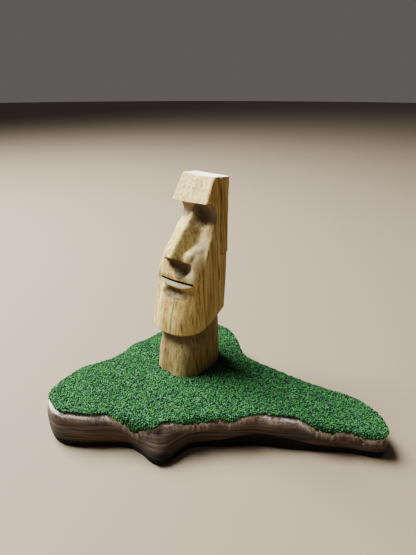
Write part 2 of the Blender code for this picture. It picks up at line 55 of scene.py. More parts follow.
# Sizes in millimetres, the same as the part's
FIGURE_HEIGHT = 94.4
FIGURE_TURN = -40.0
ISLAND_LENGTH = 157.0
ISLAND_DEPTH = 92.0
SLAB_THICKNESS = 17.0
TIP_THICKNESS = 11.5
SEAT_HEIGHT = 18.7
SEAT_MARGIN = 1.4
SHOULDER_DROP = 2.0
SHOULDER_INSET = 2.2
LIP_HEIGHT = 3.7
LIP_REACH = 1.3
LOBE_REACH = 5.2
ARCH_RISE = 3.2
UNDERCUT = 0.6
TURF_THICKNESS = 1.7
TURF_EDGE_THICKNESS = 1.0
TURF_RAGGED = 0.07
TURF_HIGHEST_END = 1.85
DOME_RISE = 1.2
MOUND_REACH = 24.0
WALL_SWELL = 0.5
CLEARANCE = 0.3
WALL_SHARES = (0.35, 0.7)
PLAN_STEPS = 24
RING_SPACING = 0.85
PART_COLUMNS = 100

# How finely the looks are lofted
SLAB_COLUMNS = 1100
SLAB_WALL_ROWS = 34
SKIN_COLUMNS = 520
FIGURE_ROWS_A_LEVEL = 7
MARCH_STEPS = 70
HALVINGS = 22

# The figure is drawn on a grid in which it is this many units tall, foot at 0
GRID_UNITS = 94.4
UNIT = FIGURE_HEIGHT / GRID_UNITS

# The slab's shoulder in plan, from the right-hand tip round the back: shares of half the
# length and half the depth, then how far up the wall the turf ends (0 lip, 1 shoulder edge,
# 2 top)
ISLAND_PLAN = [
    (0.965, -0.73, 1.05), (0.95, -0.59, 0.8), (0.893, -0.45, 0.85), (0.82, -0.36, 0.6),
    (0.7, -0.285, 0.8), (0.565, -0.185, 0.65), (0.43, -0.06, 0.85), (0.305, 0.075, 0.7),
    (0.215, 0.22, 0.6), (0.18, 0.39, 0.8), (0.16, 0.59, 0.65), (0.115, 0.795, 0.8),
    (0.01, 0.93, 0.6), (-0.135, 0.975, 0.75), (-0.285, 0.9, 0.6), (-0.392, 0.71, 0.8),
    (-0.465, 0.575, 0.7), (-0.556, 0.455, 0.6), (-0.605, 0.305, 0.8), (-0.665, 0.18, 0.7),
    (-0.755, 0.085, 0.85), (-0.85, -0.01, 0.7), (-0.93, -0.2, 1.2), (-0.985, -0.391, 1.75),
    (-0.969, -0.533, 1.85), (-0.893, -0.685, 1.85), (-0.76, -0.733, 1.5), (-0.62, -0.733, 1.35),
    (-0.492, -0.746, 0.8), (-0.409, -0.804, 1.6), (-0.3, -0.848, 1.8), (-0.205, -0.809, 1.12),
    (-0.11, -0.745, 1.25), (0.069, -0.735, 1.75), (0.247, -0.722, 1.75), (0.425, -0.761, 1.85),
    (0.604, -0.789, 1.65), (0.757, -0.813, 1), (0.878, -0.857, 1.22), (0.948, -0.852, 1.02),
]
FIGURE_SPOT = (-0.155, 0.130)
LOBE_AT = -0.300
LOBE_SPREAD = 0.085
ARCH_AT = 0.290
ARCH_SPREAD = 0.210
THINNING_FROM = 0.350

# The figure's forms, in grid units: x to the figure's left, y to its back, z up from its foot
NECK_CENTRE_X = 0.6
NECK_CENTRE_Y = [(0, -1.4), (11, -0.2), (27, 2.0)]
NECK_HALF_WIDTH = [(0, 12.9), (5, 12.7), (17, 12.2), (27, 11.6)]
NECK_HALF_DEPTH = [(0, 14.4), (11, 13.9), (27, 11.6)]
NECK_CORNER = 9.2
NECK_TOP = 30.0
JAW_FRONT = -14.0
JAW_LOW = 22.4
JAW_SLOPE = 0.14
JAW_CURVE = 0.007
HALF_WIDTH = [(21, 13.9), (25, 13.8), (36, 13.2), (56, 12.15), (69, 11.35), (83.6, 10.35),
              (94.4, 9.5)]
CENTRE_SHIFT = [(21, 0.5), (27, 0.5), (41, 0.4), (56, 0.15), (94, 0.0)]
FACE_TWIST = [(25, 5.5), (41, 3.8), (61, 2.2), (84, 0.0)]
BACK = [(25, 10.5), (32, 11.4), (45, 13.2), (59, 14.6), (74, 15.9), (93.3, 18.2)]
CORNER_RADIUS = [(25, 3.0), (41, 2.4), (50, 1.6), (71, 1.3), (81, 1.5), (94, 1.4)]
FAR_CORNER_SHARE = 0.45
FOREHEAD_TOP = (94.3, 8.3)
FOREHEAD_SLOPE = 0.598
TOP_TILT = 0.1
BROW_HEIGHT = 83.2
BROW_SLOPE = 0.045
BROW_FOLLOW = [(74, 0.0), (80, 1.0), (85.5, 1.0), (91, 0.0)]
CHEEK = [(21, -13.2), (29, -11.9), (36, -10.2), (41, -8.8), (45, -7.4), (52, -5.4), (58, -3.4),
         (63, -1.3), (67, 0.7), (71, 3.4), (74, 5.0), (77, 5.4), (80, 4.7), (83, 4.3)]
CHEEK_EDGE = [(45, 9.0), (55, 6.0), (75, 6.0), (80, 9.0)]
FAR_CHEEK_EDGE = 9.0
CHEEK_BOW = 1.8
CHEEK_FALL = [(40, 1.1), (46, 0.6), (51, 0.04), (55, 0.15), (59, 0.4), (63, 0.55), (68, 0.6),
              (72, 0.4), (76, 0.27), (84, 0.35)]
FAR_CHEEK_FALL = [(39, 0.7), (45, 0.3), (50, -0.2), (57, -0.1), (61, 0.3), (64, 0.9), (68, 1.3),
                  (76, 1.1), (80, 0.5), (84, 0.2)]
SOCKET_CENTRE = (3.0, 77.0)
SOCKET_RADIUS = 5.8
SOCKET_SLANT = 0.07
RIDGE = [(55, -14.6), (60.2, -13.1), (61.8, -12.1), (65.2, -9.4), (68.6, -6.4), (71.8, -3.3),
         (74.4, -0.4), (76.8, 2.1), (79, 4.0), (83, 6.6)]
RIDGE_HALF_WIDTH = [(60, 1.5), (71, 1.0), (83, 0.8)]
NOSE_SIDE_SLOPE = [(57, 1.8), (65, 1.85), (72, 1.8), (77, 2.4), (81, 3.0)]
NOSE_UNDERSIDE = (-6.0, 57.0)
NOSE_UNDERSIDE_SLOPE = 0.62
WING_CENTRE = (5.5, 58.4)
WING_INNER = 3.2
WING_OUTER = 3.2
WING_TALL = 4.9
WING_FACE = -3.9
WING_BULGE = 4.2
MUZZLE = [(41, -9.8), (47, -9.6), (50.5, -9.6), (53, -9.1), (56, -8.3), (59, -7.0), (63, -3.0),
          (67, 5.0), (71, 14.0)]
MUZZLE_BOW = 0.010
MUZZLE_EDGE = [(45, 12.0), (50, 11.8), (56, 10.2), (62, 8.4)]
FAR_MUZZLE_EDGE = 9.2
MUZZLE_FALL = 2.6
MOUTH_SHIFT = 1.1
LIP_LINE = 48.95
LIP_EDGE = 0.45
LIP_FULL = 3.5
LIP_SHIFT = 0.4
LIP_HALF_WIDTH = 10.6
SLIT_HALF_HEIGHT = 0.45
SLIT_HALF_WIDTH = 9.4
SLIT_BACK = -7.2
CHIN_GROOVE = ((1.2, -12.2, 43.3), (9.3, 4.1, 2.6))
LIP_HOLLOW = ((3.2, -10.8, 56.2), (7.6, 5.2, 4.9))
EAR_RAISE = 0.6
EAR_FRONT = [(59, 9.6), (94, 12.1)]
EAR_BOTTOM = 59.0
TOP_ROUNDING = 0.45
TOP_INSET = 0.35

# The levels at which the figure is sectioned: heights on the axis, then how far a section
# follows the jaw's edge and the nose's underside instead of lying level
LEVELS = [0, 5, 10.5, 16, 20.5, 24, 25.2, 25.75, 26.3, 27.4, 29.5, 33, 36.5, 40, 42.3, 44.3, 46,
          47.4, 48.35, 48.65, 49.25, 49.55, 50.6, 52, 53.6, 55.2, 56.5, 57.2, 58.2, 58.85, 59.2,
          60.8, 62.8, 65, 67.3, 69.6, 72, 74.5, 77, 79.3, 81.4, 82.8, 83.45, 85.5, 89, 92.5]
FOLLOW_JAW = [(10.5, 0), (16, 0.1), (20.5, 0.4), (24, 0.8), (25.2, 1), (26.3, 1), (27.4, 0.95),
              (29.5, 0.8), (33, 0.5), (36.5, 0.25), (40, 0.1), (42.3, 0), (50.6, 0), (52, 0.1),
              (53.6, 0)]
FOLLOW_NOSE = [(50.6, 0), (52, 0.2), (53.6, 0.5), (55.2, 0.8), (56.5, 1), (57.2, 1), (58.2, 0.9),
               (58.85, 0.8), (59.2, 0.8), (60.8, 0.6), (62.8, 0.4), (65, 0.2), (67.3, 0)]
AXIS_Y = [(0, -1.0), (26, 1.5), (45, 6.0), (60, 9.0), (78, 12.0), (94, 13.3)]
CORNER_Y = [(0, -11.0), (22, -8.0), (25, -7.5), (29, -6.8), (36, -5.7), (45, -2.9), (58, 0.5),
            (67, 4.2), (72, 4.6), (77, 5.6), (80, 4.6), (82.8, 2.8), (83.5, 2.2), (86, 3.34),
            (90, 5.73), (94.4, 8.36)]
NECK_BACK_Y = 12.5
FRONT_COLUMNS = 145
FLANK_COLUMNS = 49
BACK_COLUMNS = 37
FRONT_FAN = 48.0
BACK_FAN = 46.0
REACH = 26.0

# Along the front, how far round the slab from the right-hand tip and where the turf ends there
TURF_SCALLOPS = [
    (0.575, 1.7), (0.59, 1.85), (0.635, 1.85), (0.65, 1.72), (0.665, 1.85), (0.685, 1),
    (0.7, 0.7), (0.725, 1.13), (0.733, 1.85), (0.742, 1.85), (0.76, 0.95), (0.785, 0.98),
    (0.8, 1.34), (0.81, 0.96), (0.83, 1.5), (0.85, 1.75), (0.858, 1.62), (0.875, 1.85),
    (0.885, 1.85), (0.91, 0.92), (0.925, 0.83), (0.94, 1.11), (0.963, 0.88), (0.975, 1),
    (0.985, 1.4), (1, 1.05),
]

# Turf crumbs, with the greens they are dyed and up to which share of them each is used
CRUMB_RADIUS = 0.40
CRUMB_SPACING = 0.56
CRUMB_PIECES = 3
SKIN_BELOW = 0.45
SKIN_BUMPS = 0.16
CRUMB_GREENS = [
    (0.20, (0.007, 0.040, 0.023)), (0.42, (0.017, 0.098, 0.030)), (0.76, (0.028, 0.150, 0.034)),
    (0.985, (0.050, 0.215, 0.042)), (1.0, (0.110, 0.235, 0.035)),
]
CRUMB_DYE = (0.44, 0.55, 0.44)

# Dark streaks down the figure: where across the face or along the side, how wide, from which
# height to which, how dark, in grid units
STREAKS = [
    (1.6, 0.45, 20, 43, 0.7), (2.6, 1.1, 33, 43.5, 0.45), (-1.2, 0.35, 24, 40, 0.25),
    (4.6, 0.3, 22, 38, 0.22), (0.8, 0.7, 83.5, 95, 0.34), (-2.6, 0.3, 84, 95, 0.24),
    (3.3, 0.35, 83.5, 95, 0.26), (5.6, 0.5, 83.5, 95, 0.16), (-5.2, 0.4, 84, 95, 0.2),
    (0.4, 0.5, 0, 22, 0.5), (-1.4, 0.35, 1, 18, 0.25), (4.5, 0.4, 0, 19, 0.22),
]
SIDE_STREAKS = [
    (-3.4, 0.3, 23, 56, 0.75), (-1, 0.2, 30, 70, 0.3), (1.2, 0.35, 24, 60, 0.28),
    (3.6, 0.3, 32, 78, 0.5), (5.4, 0.25, 26, 66, 0.42), (7, 0.45, 30, 92, 0.45),
    (9.3, 0.3, 26, 88, 0.4), (11.5, 0.4, 34, 93, 0.5), (13.6, 0.35, 36, 90, 0.45),
]
STREAK_FADE = 3.0
STREAK_WANDER = 0.25

# The drying check in the near side: place along the side, height, half width and half height
KNOT = (8.1, 49.6, 0.42, 5.2)

# How strongly each cut and hollow is painted grey-brown, and how strongly it is darkened over that:
# painted shade under the nose, the lower lip and the jaw, on the nose's near side and over the neck,
# and real stain with painted shade in the eye sockets
CUT_STAIN_AND_SHADE = {
    'socket': (0.86, 0.02), 'under_nose': (0.52, 0.8), 'under_lip': (0.22, 0.86),
    'under_jaw': (0.45, 0.66), 'nose_side': (0.26, 0.4), 'neck': (0.14, 0.54),
}
# Painted shade in the step down the front of each ear and under it
EAR_SEAM_SHADE = 0.55
# Painted highlight: how strongly the lower lip, the cheek's near corner and the top are lightened
LIP_HIGHLIGHT = 0.7
CHEEK_HIGHLIGHT = 0.22
TOP_HIGHLIGHT = 0.9
FRONT_DEPTH = 6.0
# The grey-brown of stain and painted shade, the painted highlight, and the dark of streaks and
# painted shade
STAIN_AND_SHADE_COLOUR = (0.135, 0.100, 0.096)
HIGHLIGHT_COLOUR = (0.86, 0.77, 0.57)
DARK_AND_SHADE_COLOUR = (0.020, 0.009, 0.004)

# Wear of the walnut: the torn band under the turf's edge in millimetres; and painted shade: the
# darkened foot, most at the lobe, and the near-black recess under the lip
TORN_BAND = 2.0
TORN_TOP = 0.6
TORN_LOST_AT_LOBE = 0.5
TORN_LOST_BEHIND = 0.6
FOOT_SHADE = 0.35
FOOT_SHADE_AT_LOBE = 0.55
FOOT_SHADE_TOP = 0.70
FOOT_LOBE_SPREAD = 1.6
DUST_COLOUR = (0.74, 0.62, 0.56)
# Near-black painted shade in the recess under the lip
RECESS_SHADE_COLOUR = (0.003, 0.003, 0.003)

# The photograph's camera, measured from the slab's own centre, in millimetres and degrees
CAMERA_PLACE = (-2.6, -174.0, 150.0)
CAMERA_PITCH = 65.0
CAMERA_LENS = 27.05
SENSOR = 36.0

# The plain floor, the soft room and the lights, in metres and watts
FLOOR_RADIUS = 4.0
FLOOR_DROP = 0.00002
FLOOR_COLOUR = (0.170, 0.119, 0.074)
ROOM_COLOUR = (1.0, 0.90, 0.90)
ROOM_STRENGTH = 0.12
AIM_HEIGHT = 0.05
LIGHTS = [
    ('key', (-0.485, 0.262, 0.845), 0.55, 79.0, (0.90, 0.985, 0.985)),
    ('fill', (-0.5, -0.75, 0.55), 0.7, 0.5, (1.0, 0.93, 0.85)),
]

# What scrambles a cell's place into a fixed value
HASH_PLACE = (374761393, 668265263, 1274126177)
HASH_SEED = 97463
HASH_MIX = 1103515245


def blend_min(a, b, radius):
    """The lesser of two distances, with a rounded inner corner where they meet."""
    h = np.clip(0.5 + 0.5 * (b - a) / radius, 0.0, 1.0)
    return b + (a - b) * h - radius * h * (1.0 - h)


def blend_max(a, b, radius):
    """The greater of two distances, with a rounded outer corner where they meet."""
    return -blend_min(-a, -b, radius)


def rise(value, low, high):
    """From 0 at low to 1 at high, with level ends."""
    t = np.clip((value - low) / (high - low), 0.0, 1.0)
    return t * t * (3.0 - 2.0 * t)


def fade(value, low, high):
    """From 1 at low to 0 at high, with level ends."""
    return 1.0 - rise(value, low, high)


def band(value, low, high, ends):
    """1 between low and high, fading to 0 within each end."""
    return rise(value, low, low + ends) * fade(value, high - ends, high)


def straight(at, stations):
    """Straight lines through (place, value) stations."""
    return np.interp(at, [s[0] for s in stations], [s[1] for s in stations])


def profile(at, stations):
    """A smooth line through (height, value) stations that never swings past them."""
    xs = np.array([s[0] for s in stations], dtype=float)
    ys = np.array([s[1] for s in stations], dtype=float)
    step = np.diff(xs)
    rise = np.diff(ys) / step
    slope = np.zeros_like(ys)
    same = rise[:-1] * rise[1:] > 0.0
    total = np.where(same, rise[:-1] + rise[1:], 1.0)
    slope[1:-1] = np.where(same, 2.0 * rise[:-1] * rise[1:] / total, 0.0)
    slope[0] = rise[0]
    slope[-1] = rise[-1]
    at = np.clip(at, xs[0], xs[-1])
    i = np.clip(np.searchsorted(xs, at) - 1, 0, len(xs) - 2)
    t = (at - xs[i]) / step[i]
    return ((2 * t**3 - 3 * t**2 + 1) * ys[i] + (t**3 - 2 * t**2 + t) * step[i] * slope[i]
            + (-2 * t**3 + 3 * t**2) * ys[i + 1] + (t**3 - t**2) * step[i] * slope[i + 1])


def lattice(cell, seed):
    """A fixed value from 0 to 1 for each whole-numbered cell."""
    mixed = cell.astype(np.int64) @ np.array(HASH_PLACE) + seed * HASH_SEED
    mixed = (mixed ^ (mixed >> 13)) * HASH_MIX
    mixed = mixed ^ (mixed >> 16)
    return (mixed & 0xFFFF) / 65535.0


def noise(points, size, seed):
    """Smooth noise from -1 to 1 whose bumps are about size wide, in millimetres."""
    place = points / np.asarray(size, dtype=float)
    cell = np.floor(place)
    t = place - cell
    t = t * t * (3.0 - 2.0 * t)
    total = np.zeros(points.shape[:-1])
    for corner in np.ndindex(2, 2, 2):
        share = np.prod(np.where(corner, t, 1.0 - t), axis=-1)
        total += share * lattice(cell + np.array(corner), seed)
    return total * 2.0 - 1.0


def jaw_line(y):
    """Height of the jaw's lower edge, which climbs towards the back."""
    run = y - JAW_FRONT
    return JAW_LOW + JAW_SLOPE * run + JAW_CURVE * run * run


def neck_shape(x, y, z, grow=0.0):
    """Distance from the neck's rounded oblong section at height z, made larger by grow."""
    across = np.abs(x - NECK_CENTRE_X)
    along = np.abs(y - profile(z, NECK_CENTRE_Y))
    half_x = profile(z, NECK_HALF_WIDTH) - NECK_CORNER
    half_y = profile(z, NECK_HALF_DEPTH) - NECK_CORNER
    outside = np.hypot(np.maximum(across - half_x, 0.0), np.maximum(along - half_y, 0.0))
    inside = np.minimum(np.maximum(across - half_x, along - half_y), 0.0)
    return outside + inside - NECK_CORNER - grow


def hollow(x, y, z, place, size):
    """Distance-like value of an egg-shaped scoop, negative inside it."""
    dx = (x - place[0]) / size[0]
    dy = (y - place[1]) / size[1]
    dz = (z - place[2]) / size[2]
    return (np.sqrt(dx * dx + dy * dy + dz * dz) - 1.0) * min(size)


def face_place(x, y, z):
    """Depth behind the face's twisted plane, and place across the face."""
    turned = y - x * np.tan(np.radians(profile(z, FACE_TWIST)))
    return turned, x + profile(z, CENTRE_SHIFT)


def lip_low_edge(side):
    """Height of the lower lip's bottom edge, which rises to both ends."""
    from_middle = (side - LIP_SHIFT) / LIP_HALF_WIDTH
    return LIP_LINE - LIP_EDGE - LIP_FULL * (1.0 - from_middle ** 2)


def nose_underside(turned):
    """Height of the nose's underside, which climbs towards its tip."""
    return NOSE_UNDERSIDE[1] - (turned - NOSE_UNDERSIDE[0]) * NOSE_UNDERSIDE_SLOPE


def tilted_top(y):
    """Height of the top face, which falls towards the back."""
    return GRID_UNITS - TOP_TILT * (y - FOREHEAD_TOP[1])


def eye_scoop(x, z, turned):
    """Distance from the round scoop that cuts both eye sockets."""
    up = z - SOCKET_CENTRE[1] - BROW_SLOPE * x
    return np.hypot(turned - SOCKET_CENTRE[0] + SOCKET_SLANT * x, up) - SOCKET_RADIUS


def figure_shape(x, y, z):
    """Negative inside the carved figure, positive outside, in grid units."""
    turned, side = face_place(x, y, z)
    across = np.abs(side)
    nothing = np.zeros_like(across)
    far = side < 0.0

    # Cheeks and chin in one bowed surface, the lips and the hollows above and below them
    fall = np.where(far, profile(z, FAR_CHEEK_FALL), profile(z, CHEEK_FALL))
    cheek_edge = np.where(far, FAR_CHEEK_EDGE, profile(z, CHEEK_EDGE))
    bow = CHEEK_BOW * ((np.minimum(across, cheek_edge) / cheek_edge) ** 2 - 1.0)
    cheek = profile(z, CHEEK) + bow + fall * blend_max(nothing, across - cheek_edge, 3.0)
    muzzle_edge = np.where(far, FAR_MUZZLE_EDGE, profile(z, MUZZLE_EDGE))
    muzzle = profile(z, MUZZLE) + MUZZLE_BOW * across ** 2
    muzzle = muzzle + MUZZLE_FALL * blend_max(nothing, across - muzzle_edge, 1.6)
    muzzle = blend_max(muzzle - turned, (lip_low_edge(side) - z) * 1.3, 0.9)
    face = blend_min(cheek - turned, muzzle, 0.7)
    face = blend_max(face, -hollow(side, turned, z, *CHIN_GROOVE), 1.0)
    face = blend_max(face, -hollow(side, turned, z, *LIP_HOLLOW), 0.8)

    # Forehead block over the face, and one round scoop across both eye sockets
    forehead = FOREHEAD_TOP[1] - (FOREHEAD_TOP[0] - z) * FOREHEAD_SLOPE
    brow = BROW_HEIGHT + BROW_SLOPE * x
    block = blend_max(forehead - turned, brow - z, 0.25)
    solid = blend_min(block, blend_max(face, z - brow - 1.6, 0.5), 0.25)
    scoop = blend_max(eye_scoop(x, z, turned), z - brow, 0.2)
    solid = blend_max(solid, -scoop, 0.35)

    # Nose: a flat ridge, sloping sides and wings, cut off by its underside
    nose = profile(z, RIDGE)
    beside = blend_max(nothing, across - profile(z, RIDGE_HALF_WIDTH), 0.7)
    nose = nose + profile(z, NOSE_SIDE_SLOPE) * beside
    reach = np.where(across < WING_CENTRE[0], WING_INNER, WING_OUTER)
    spread = ((across - WING_CENTRE[0]) / reach) ** 2 + ((z - WING_CENTRE[1]) / WING_TALL) ** 2
    wing = WING_FACE - WING_BULGE * np.sqrt(np.clip(1.0 - spread, 0.0, 1.0))
    wing = wing + np.maximum(spread - 1.0, 0.0) * 4.0
    nose = blend_min(nose, wing, 1.6) - turned
    nose = blend_max(nose, nose_underside(turned) - z, 0.4)
    nose = blend_max(nose, z - brow - 0.7, 0.4)
    solid = blend_min(solid, nose, 0.9)

    # Mouth slit
    mouth = np.abs(side - MOUTH_SHIFT) - SLIT_HALF_WIDTH
    slit = blend_max(np.abs(z - LIP_LINE) - SLIT_HALF_HEIGHT, mouth, 0.3)
    slit = blend_max(slit, turned - SLIT_BACK, 0.3)
    solid = blend_max(solid, -slit, 0.1)

    # Sides with the long raised ears, the back, the top and the jaw's lower edge
    half = profile(z, HALF_WIDTH)
    back = profile(z, BACK)
    ear = blend_max(across - half - EAR_RAISE, profile(z, EAR_FRONT) - turned, 0.3)
    ear = blend_max(ear, EAR_BOTTOM - z, 0.15)
    flank = blend_min(across - half, ear, 0.2)
    corner = profile(z, CORNER_RADIUS) * np.where(far, FAR_CORNER_SHARE, 1.0)
    solid = blend_max(solid, flank, corner)
    solid = blend_max(solid, turned - back, 1.2)
    solid = blend_max(solid, z - tilted_top(y), TOP_INSET)
    solid = blend_max(solid, jaw_line(y) - z, 1.2)

    neck = blend_max(neck_shape(x, y, z), z - NECK_TOP, 0.5)
    return blend_min(solid, neck, 0.6)


def fan_angles():
    """Directions of the section points: close together over the face, wider behind."""
    front = np.linspace(-FRONT_FAN, FRONT_FAN, FRONT_COLUMNS)
    near = np.linspace(FRONT_FAN, 180.0 - BACK_FAN, FLANK_COLUMNS + 2)[1:-1]
    behind = np.linspace(180.0 - BACK_FAN, 180.0 + BACK_FAN, BACK_COLUMNS)
    off = np.linspace(180.0 + BACK_FAN, 360.0 - FRONT_FAN, FLANK_COLUMNS + 2)[1:-1]
    return np.radians(np.concatenate([front, near, behind, off]))


def fine_levels():
    """The part's levels with further ones between them, one row each."""
    last = len(LEVELS) - 1
    at = np.linspace(0.0, last, last * FIGURE_ROWS_A_LEVEL + 1)
    height = np.interp(at, np.arange(last + 1), LEVELS)
    return np.stack([height, straight(height, FOLLOW_JAW), straight(height, FOLLOW_NOSE)], axis=1)


def level_height(levels, x, y):
    """Heights of the sections' surfaces at plan places."""
    follow = levels[:, 1:2] * (jaw_line(y) - jaw_line(0.0))
    lift = levels[:, 2:3] * NOSE_UNDERSIDE_SLOPE * np.maximum(NOSE_UNDERSIDE[0] - y, 0.0)
    slope = profile(levels[:, 0:1], BROW_FOLLOW) * BROW_SLOPE * x
    return levels[:, 0:1] + follow + lift + slope


def section_rays(height, angles):
    """Plan directions that keep each column of points on the same corner at every height."""
    axis = profile(height, AXIS_Y)
    side = profile(height, HALF_WIDTH)
    back = np.maximum(profile(height, BACK), NECK_BACK_Y)
    front_depth = (axis - profile(height, CORNER_Y)) * math.tan(math.radians(FRONT_FAN))
    rear_depth = (back - axis) * math.tan(math.radians(BACK_FAN))
    depth = np.where(np.cos(angles) > 0.0, front_depth, rear_depth)
    step_x = np.sin(angles) * side
    step_y = -np.cos(angles) * depth
    length = np.hypot(step_x, step_y)
    return step_x / length, step_y / length


def halve(value, inner, outer):
    """Radii between inside and outside, halved until they meet the surface."""
    for _ in range(HALVINGS):
        middle = 0.5 * (inner + outer)
        inside = value(middle) < 0.0
        inner = np.where(inside, middle, inner)
        outer = np.where(inside, outer, middle)
    return inner


def sections(levels, angles):
    """Points where rays from the axis leave the figure, a row for each level."""
    height = levels[:, 0:1]
    axis = profile(height, AXIS_Y)
    step_x, step_y = section_rays(height, angles)

    def value(radius):
        x = step_x * radius
        y = axis + step_y * radius
        return figure_shape(x, y, level_height(levels, x, y))

    inner = np.zeros_like(step_x)
    outer = np.full_like(step_x, REACH)
    found = np.zeros(step_x.shape, dtype=bool)
    for radius in np.linspace(REACH, 0.5, MARCH_STEPS):
        inside = value(np.full_like(step_x, radius)) < 0.0
        inner[inside & ~found] = radius
        found |= inside
        outer[~found] = radius
    inner = halve(value, inner, outer)
    x = step_x * inner
    y = axis + step_y * inner
    return np.stack([x, y, level_height(levels, x, y)], axis=2)


def top_edge(angles, below, inset):
    """The section just under the tilted top, lifted to it and drawn in by inset."""
    axis = AXIS_Y[-1][1]
    step_x, step_y = section_rays(np.array([[GRID_UNITS]]), angles)
    step = np.stack([step_x[0], step_y[0]], axis=1)

    def value(radius):
        y = axis + step[:, 1] * radius
        return figure_shape(step[:, 0] * radius, y, tilted_top(y) - TOP_ROUNDING)

    inner = halve(value, np.zeros(len(angles)), np.full(len(angles), REACH)) - inset
    x = step[:, 0] * inner
    y = axis + step[:, 1] * inner
    return np.stack([x, y, tilted_top(y) - below], axis=1)


def grid_normals(grid):
    """Outward normals of a grid of points whose columns run round and whose rows run up."""
    along = np.roll(grid, -1, 1) - np.roll(grid, 1, 1)
    up = np.empty_like(grid)
    up[1:-1] = grid[2:] - grid[:-2]
    up[0] = grid[1] - grid[0]
    up[-1] = grid[-1] - grid[-2]
    normal = np.cross(along, up)
    return normal / np.maximum(np.linalg.norm(normal, axis=2), 1e-12)[:, :, None]


def loft(name, grid, close_ends, sharp_angle=None):
    """A mesh object in millimetre coordinates from rows of points, capped or joined end to end."""
    rows, columns = grid.shape[:2]
    index = np.arange(rows * columns).reshape(rows, columns)
    lower = index if not close_ends else index[:-1]
    upper = np.roll(index, -1, 0) if not close_ends else index[1:]
    quads = np.stack([lower, np.roll(lower, -1, 1), np.roll(upper, -1, 1), upper], axis=2)
    faces = quads.reshape(-1, 4).tolist()
    if close_ends:
        faces.append(index[0][::-1].tolist())
        faces.append(index[-1].tolist())
    mesh = bpy.data.meshes.new(name)
    mesh.from_pydata((grid.reshape(-1, 3) * MM).tolist(), [], faces)
    bm = bmesh.new()
    bm.from_mesh(mesh)
    bmesh.ops.recalc_face_normals(bm, faces=bm.faces)
    bmesh.ops.triangulate(bm, faces=[f for f in bm.faces if len(f.verts) > 4])
    bm.to_mesh(mesh)
    bm.free()
    mesh.shade_smooth()
    if sharp_angle is not None:
        mesh.set_sharp_from_angle(angle=math.radians(sharp_angle))
    return put_in_scene(name, mesh)


def put_in_scene(name, data):
    """A new object of that name and data."""
    obj = bpy.data.objects.new(name, data)
    bpy.context.scene.collection.objects.link(obj)
    return obj


def paint(obj, name, colours):
    """A colour for each vertex, as the mesh's colour attribute of that name."""
    layer = obj.data.color_attributes.new(name, 'FLOAT_COLOR', 'POINT')
    full = np.ones((len(obj.data.vertices), 4), np.float32)
    full[:, :colours.shape[1]] = colours
    layer.data.foreach_set('color', full.ravel())


def plan_loop(columns):
    """The slab's shoulder as evenly spaced points, with the turf's end at each."""
    rows = np.array(ISLAND_PLAN)
    count = len(rows)
    fine = []
    for i in range(count):
        a, b, c, d = (rows[(i + k) % count] for k in (-1, 0, 1, 2))
        for t in np.linspace(0.0, 1.0, PLAN_STEPS, endpoint=False):
            fine.append(0.5 * (2 * b + (c - a) * t + (2 * a - 5 * b + 4 * c - d) * t**2
                               + (3 * b - a - 3 * c + d) * t**3))
    fine = np.array(fine)
    fine = fine * np.array([ISLAND_LENGTH / 2.0, ISLAND_DEPTH / 2.0, 1.0])
    run = np.concatenate([[0.0], np.cumsum(np.hypot(*(np.roll(fine, -1, 0) - fine)[:, :2].T))])
    closed = np.vstack([fine, fine[:1]])
    marks = np.linspace(0.0, run[-1], columns, endpoint=False)
    return np.stack([np.interp(marks, run, closed[:, k]) for k in range(3)], axis=1)


def outward(loop, rounds):
    """Unit normals of a closed plan loop, evened out over as far as the part's rounds reach."""
    along = np.roll(loop, -1, 0) - np.roll(loop, 1, 0)
    normal = np.stack([along[:, 1], -along[:, 0]], axis=1)
    finer = (len(loop) / PART_COLUMNS) ** 2
    for _ in range(int(round(rounds * finer))):
        normal = (np.roll(normal, 1, 0) + 2.0 * normal + np.roll(normal, -1, 0)) / 4.0
    return normal / np.hypot(normal[:, 0], normal[:, 1])[:, None]


def figure_spot():
    """Where the figure stands on the island, from the slab's own centre."""
    return np.array([FIGURE_SPOT[0] * ISLAND_LENGTH / 2.0, FIGURE_SPOT[1] * ISLAND_DEPTH / 2.0])


def foot_loop(directions, grow):
    """The figure's foot in plan, grown by a margin, where rays from its spot leave it."""
    turn = math.radians(FIGURE_TURN)
    c = math.cos(turn)
    s = math.sin(turn)
    local = np.stack([directions[:, 0] * c + directions[:, 1] * s,
                      -directions[:, 0] * s + directions[:, 1] * c], axis=1)
    foot = np.zeros(len(local))

    def value(radius):
        return neck_shape(local[:, 0] * radius, local[:, 1] * radius, foot, grow / UNIT)

    inner = halve(value, foot, np.full(len(local), REACH))
    return figure_spot() + directions * (inner * UNIT)[:, None]


def slab_crown(share):
    """Height of the slab's top at a share of half its length; the right-hand arm thins out."""
    thin = np.clip((share - THINNING_FROM) / (1.0 - THINNING_FROM), 0.0, 1.0)
    return SLAB_THICKNESS - (SLAB_THICKNESS - TIP_THICKNESS) * thin


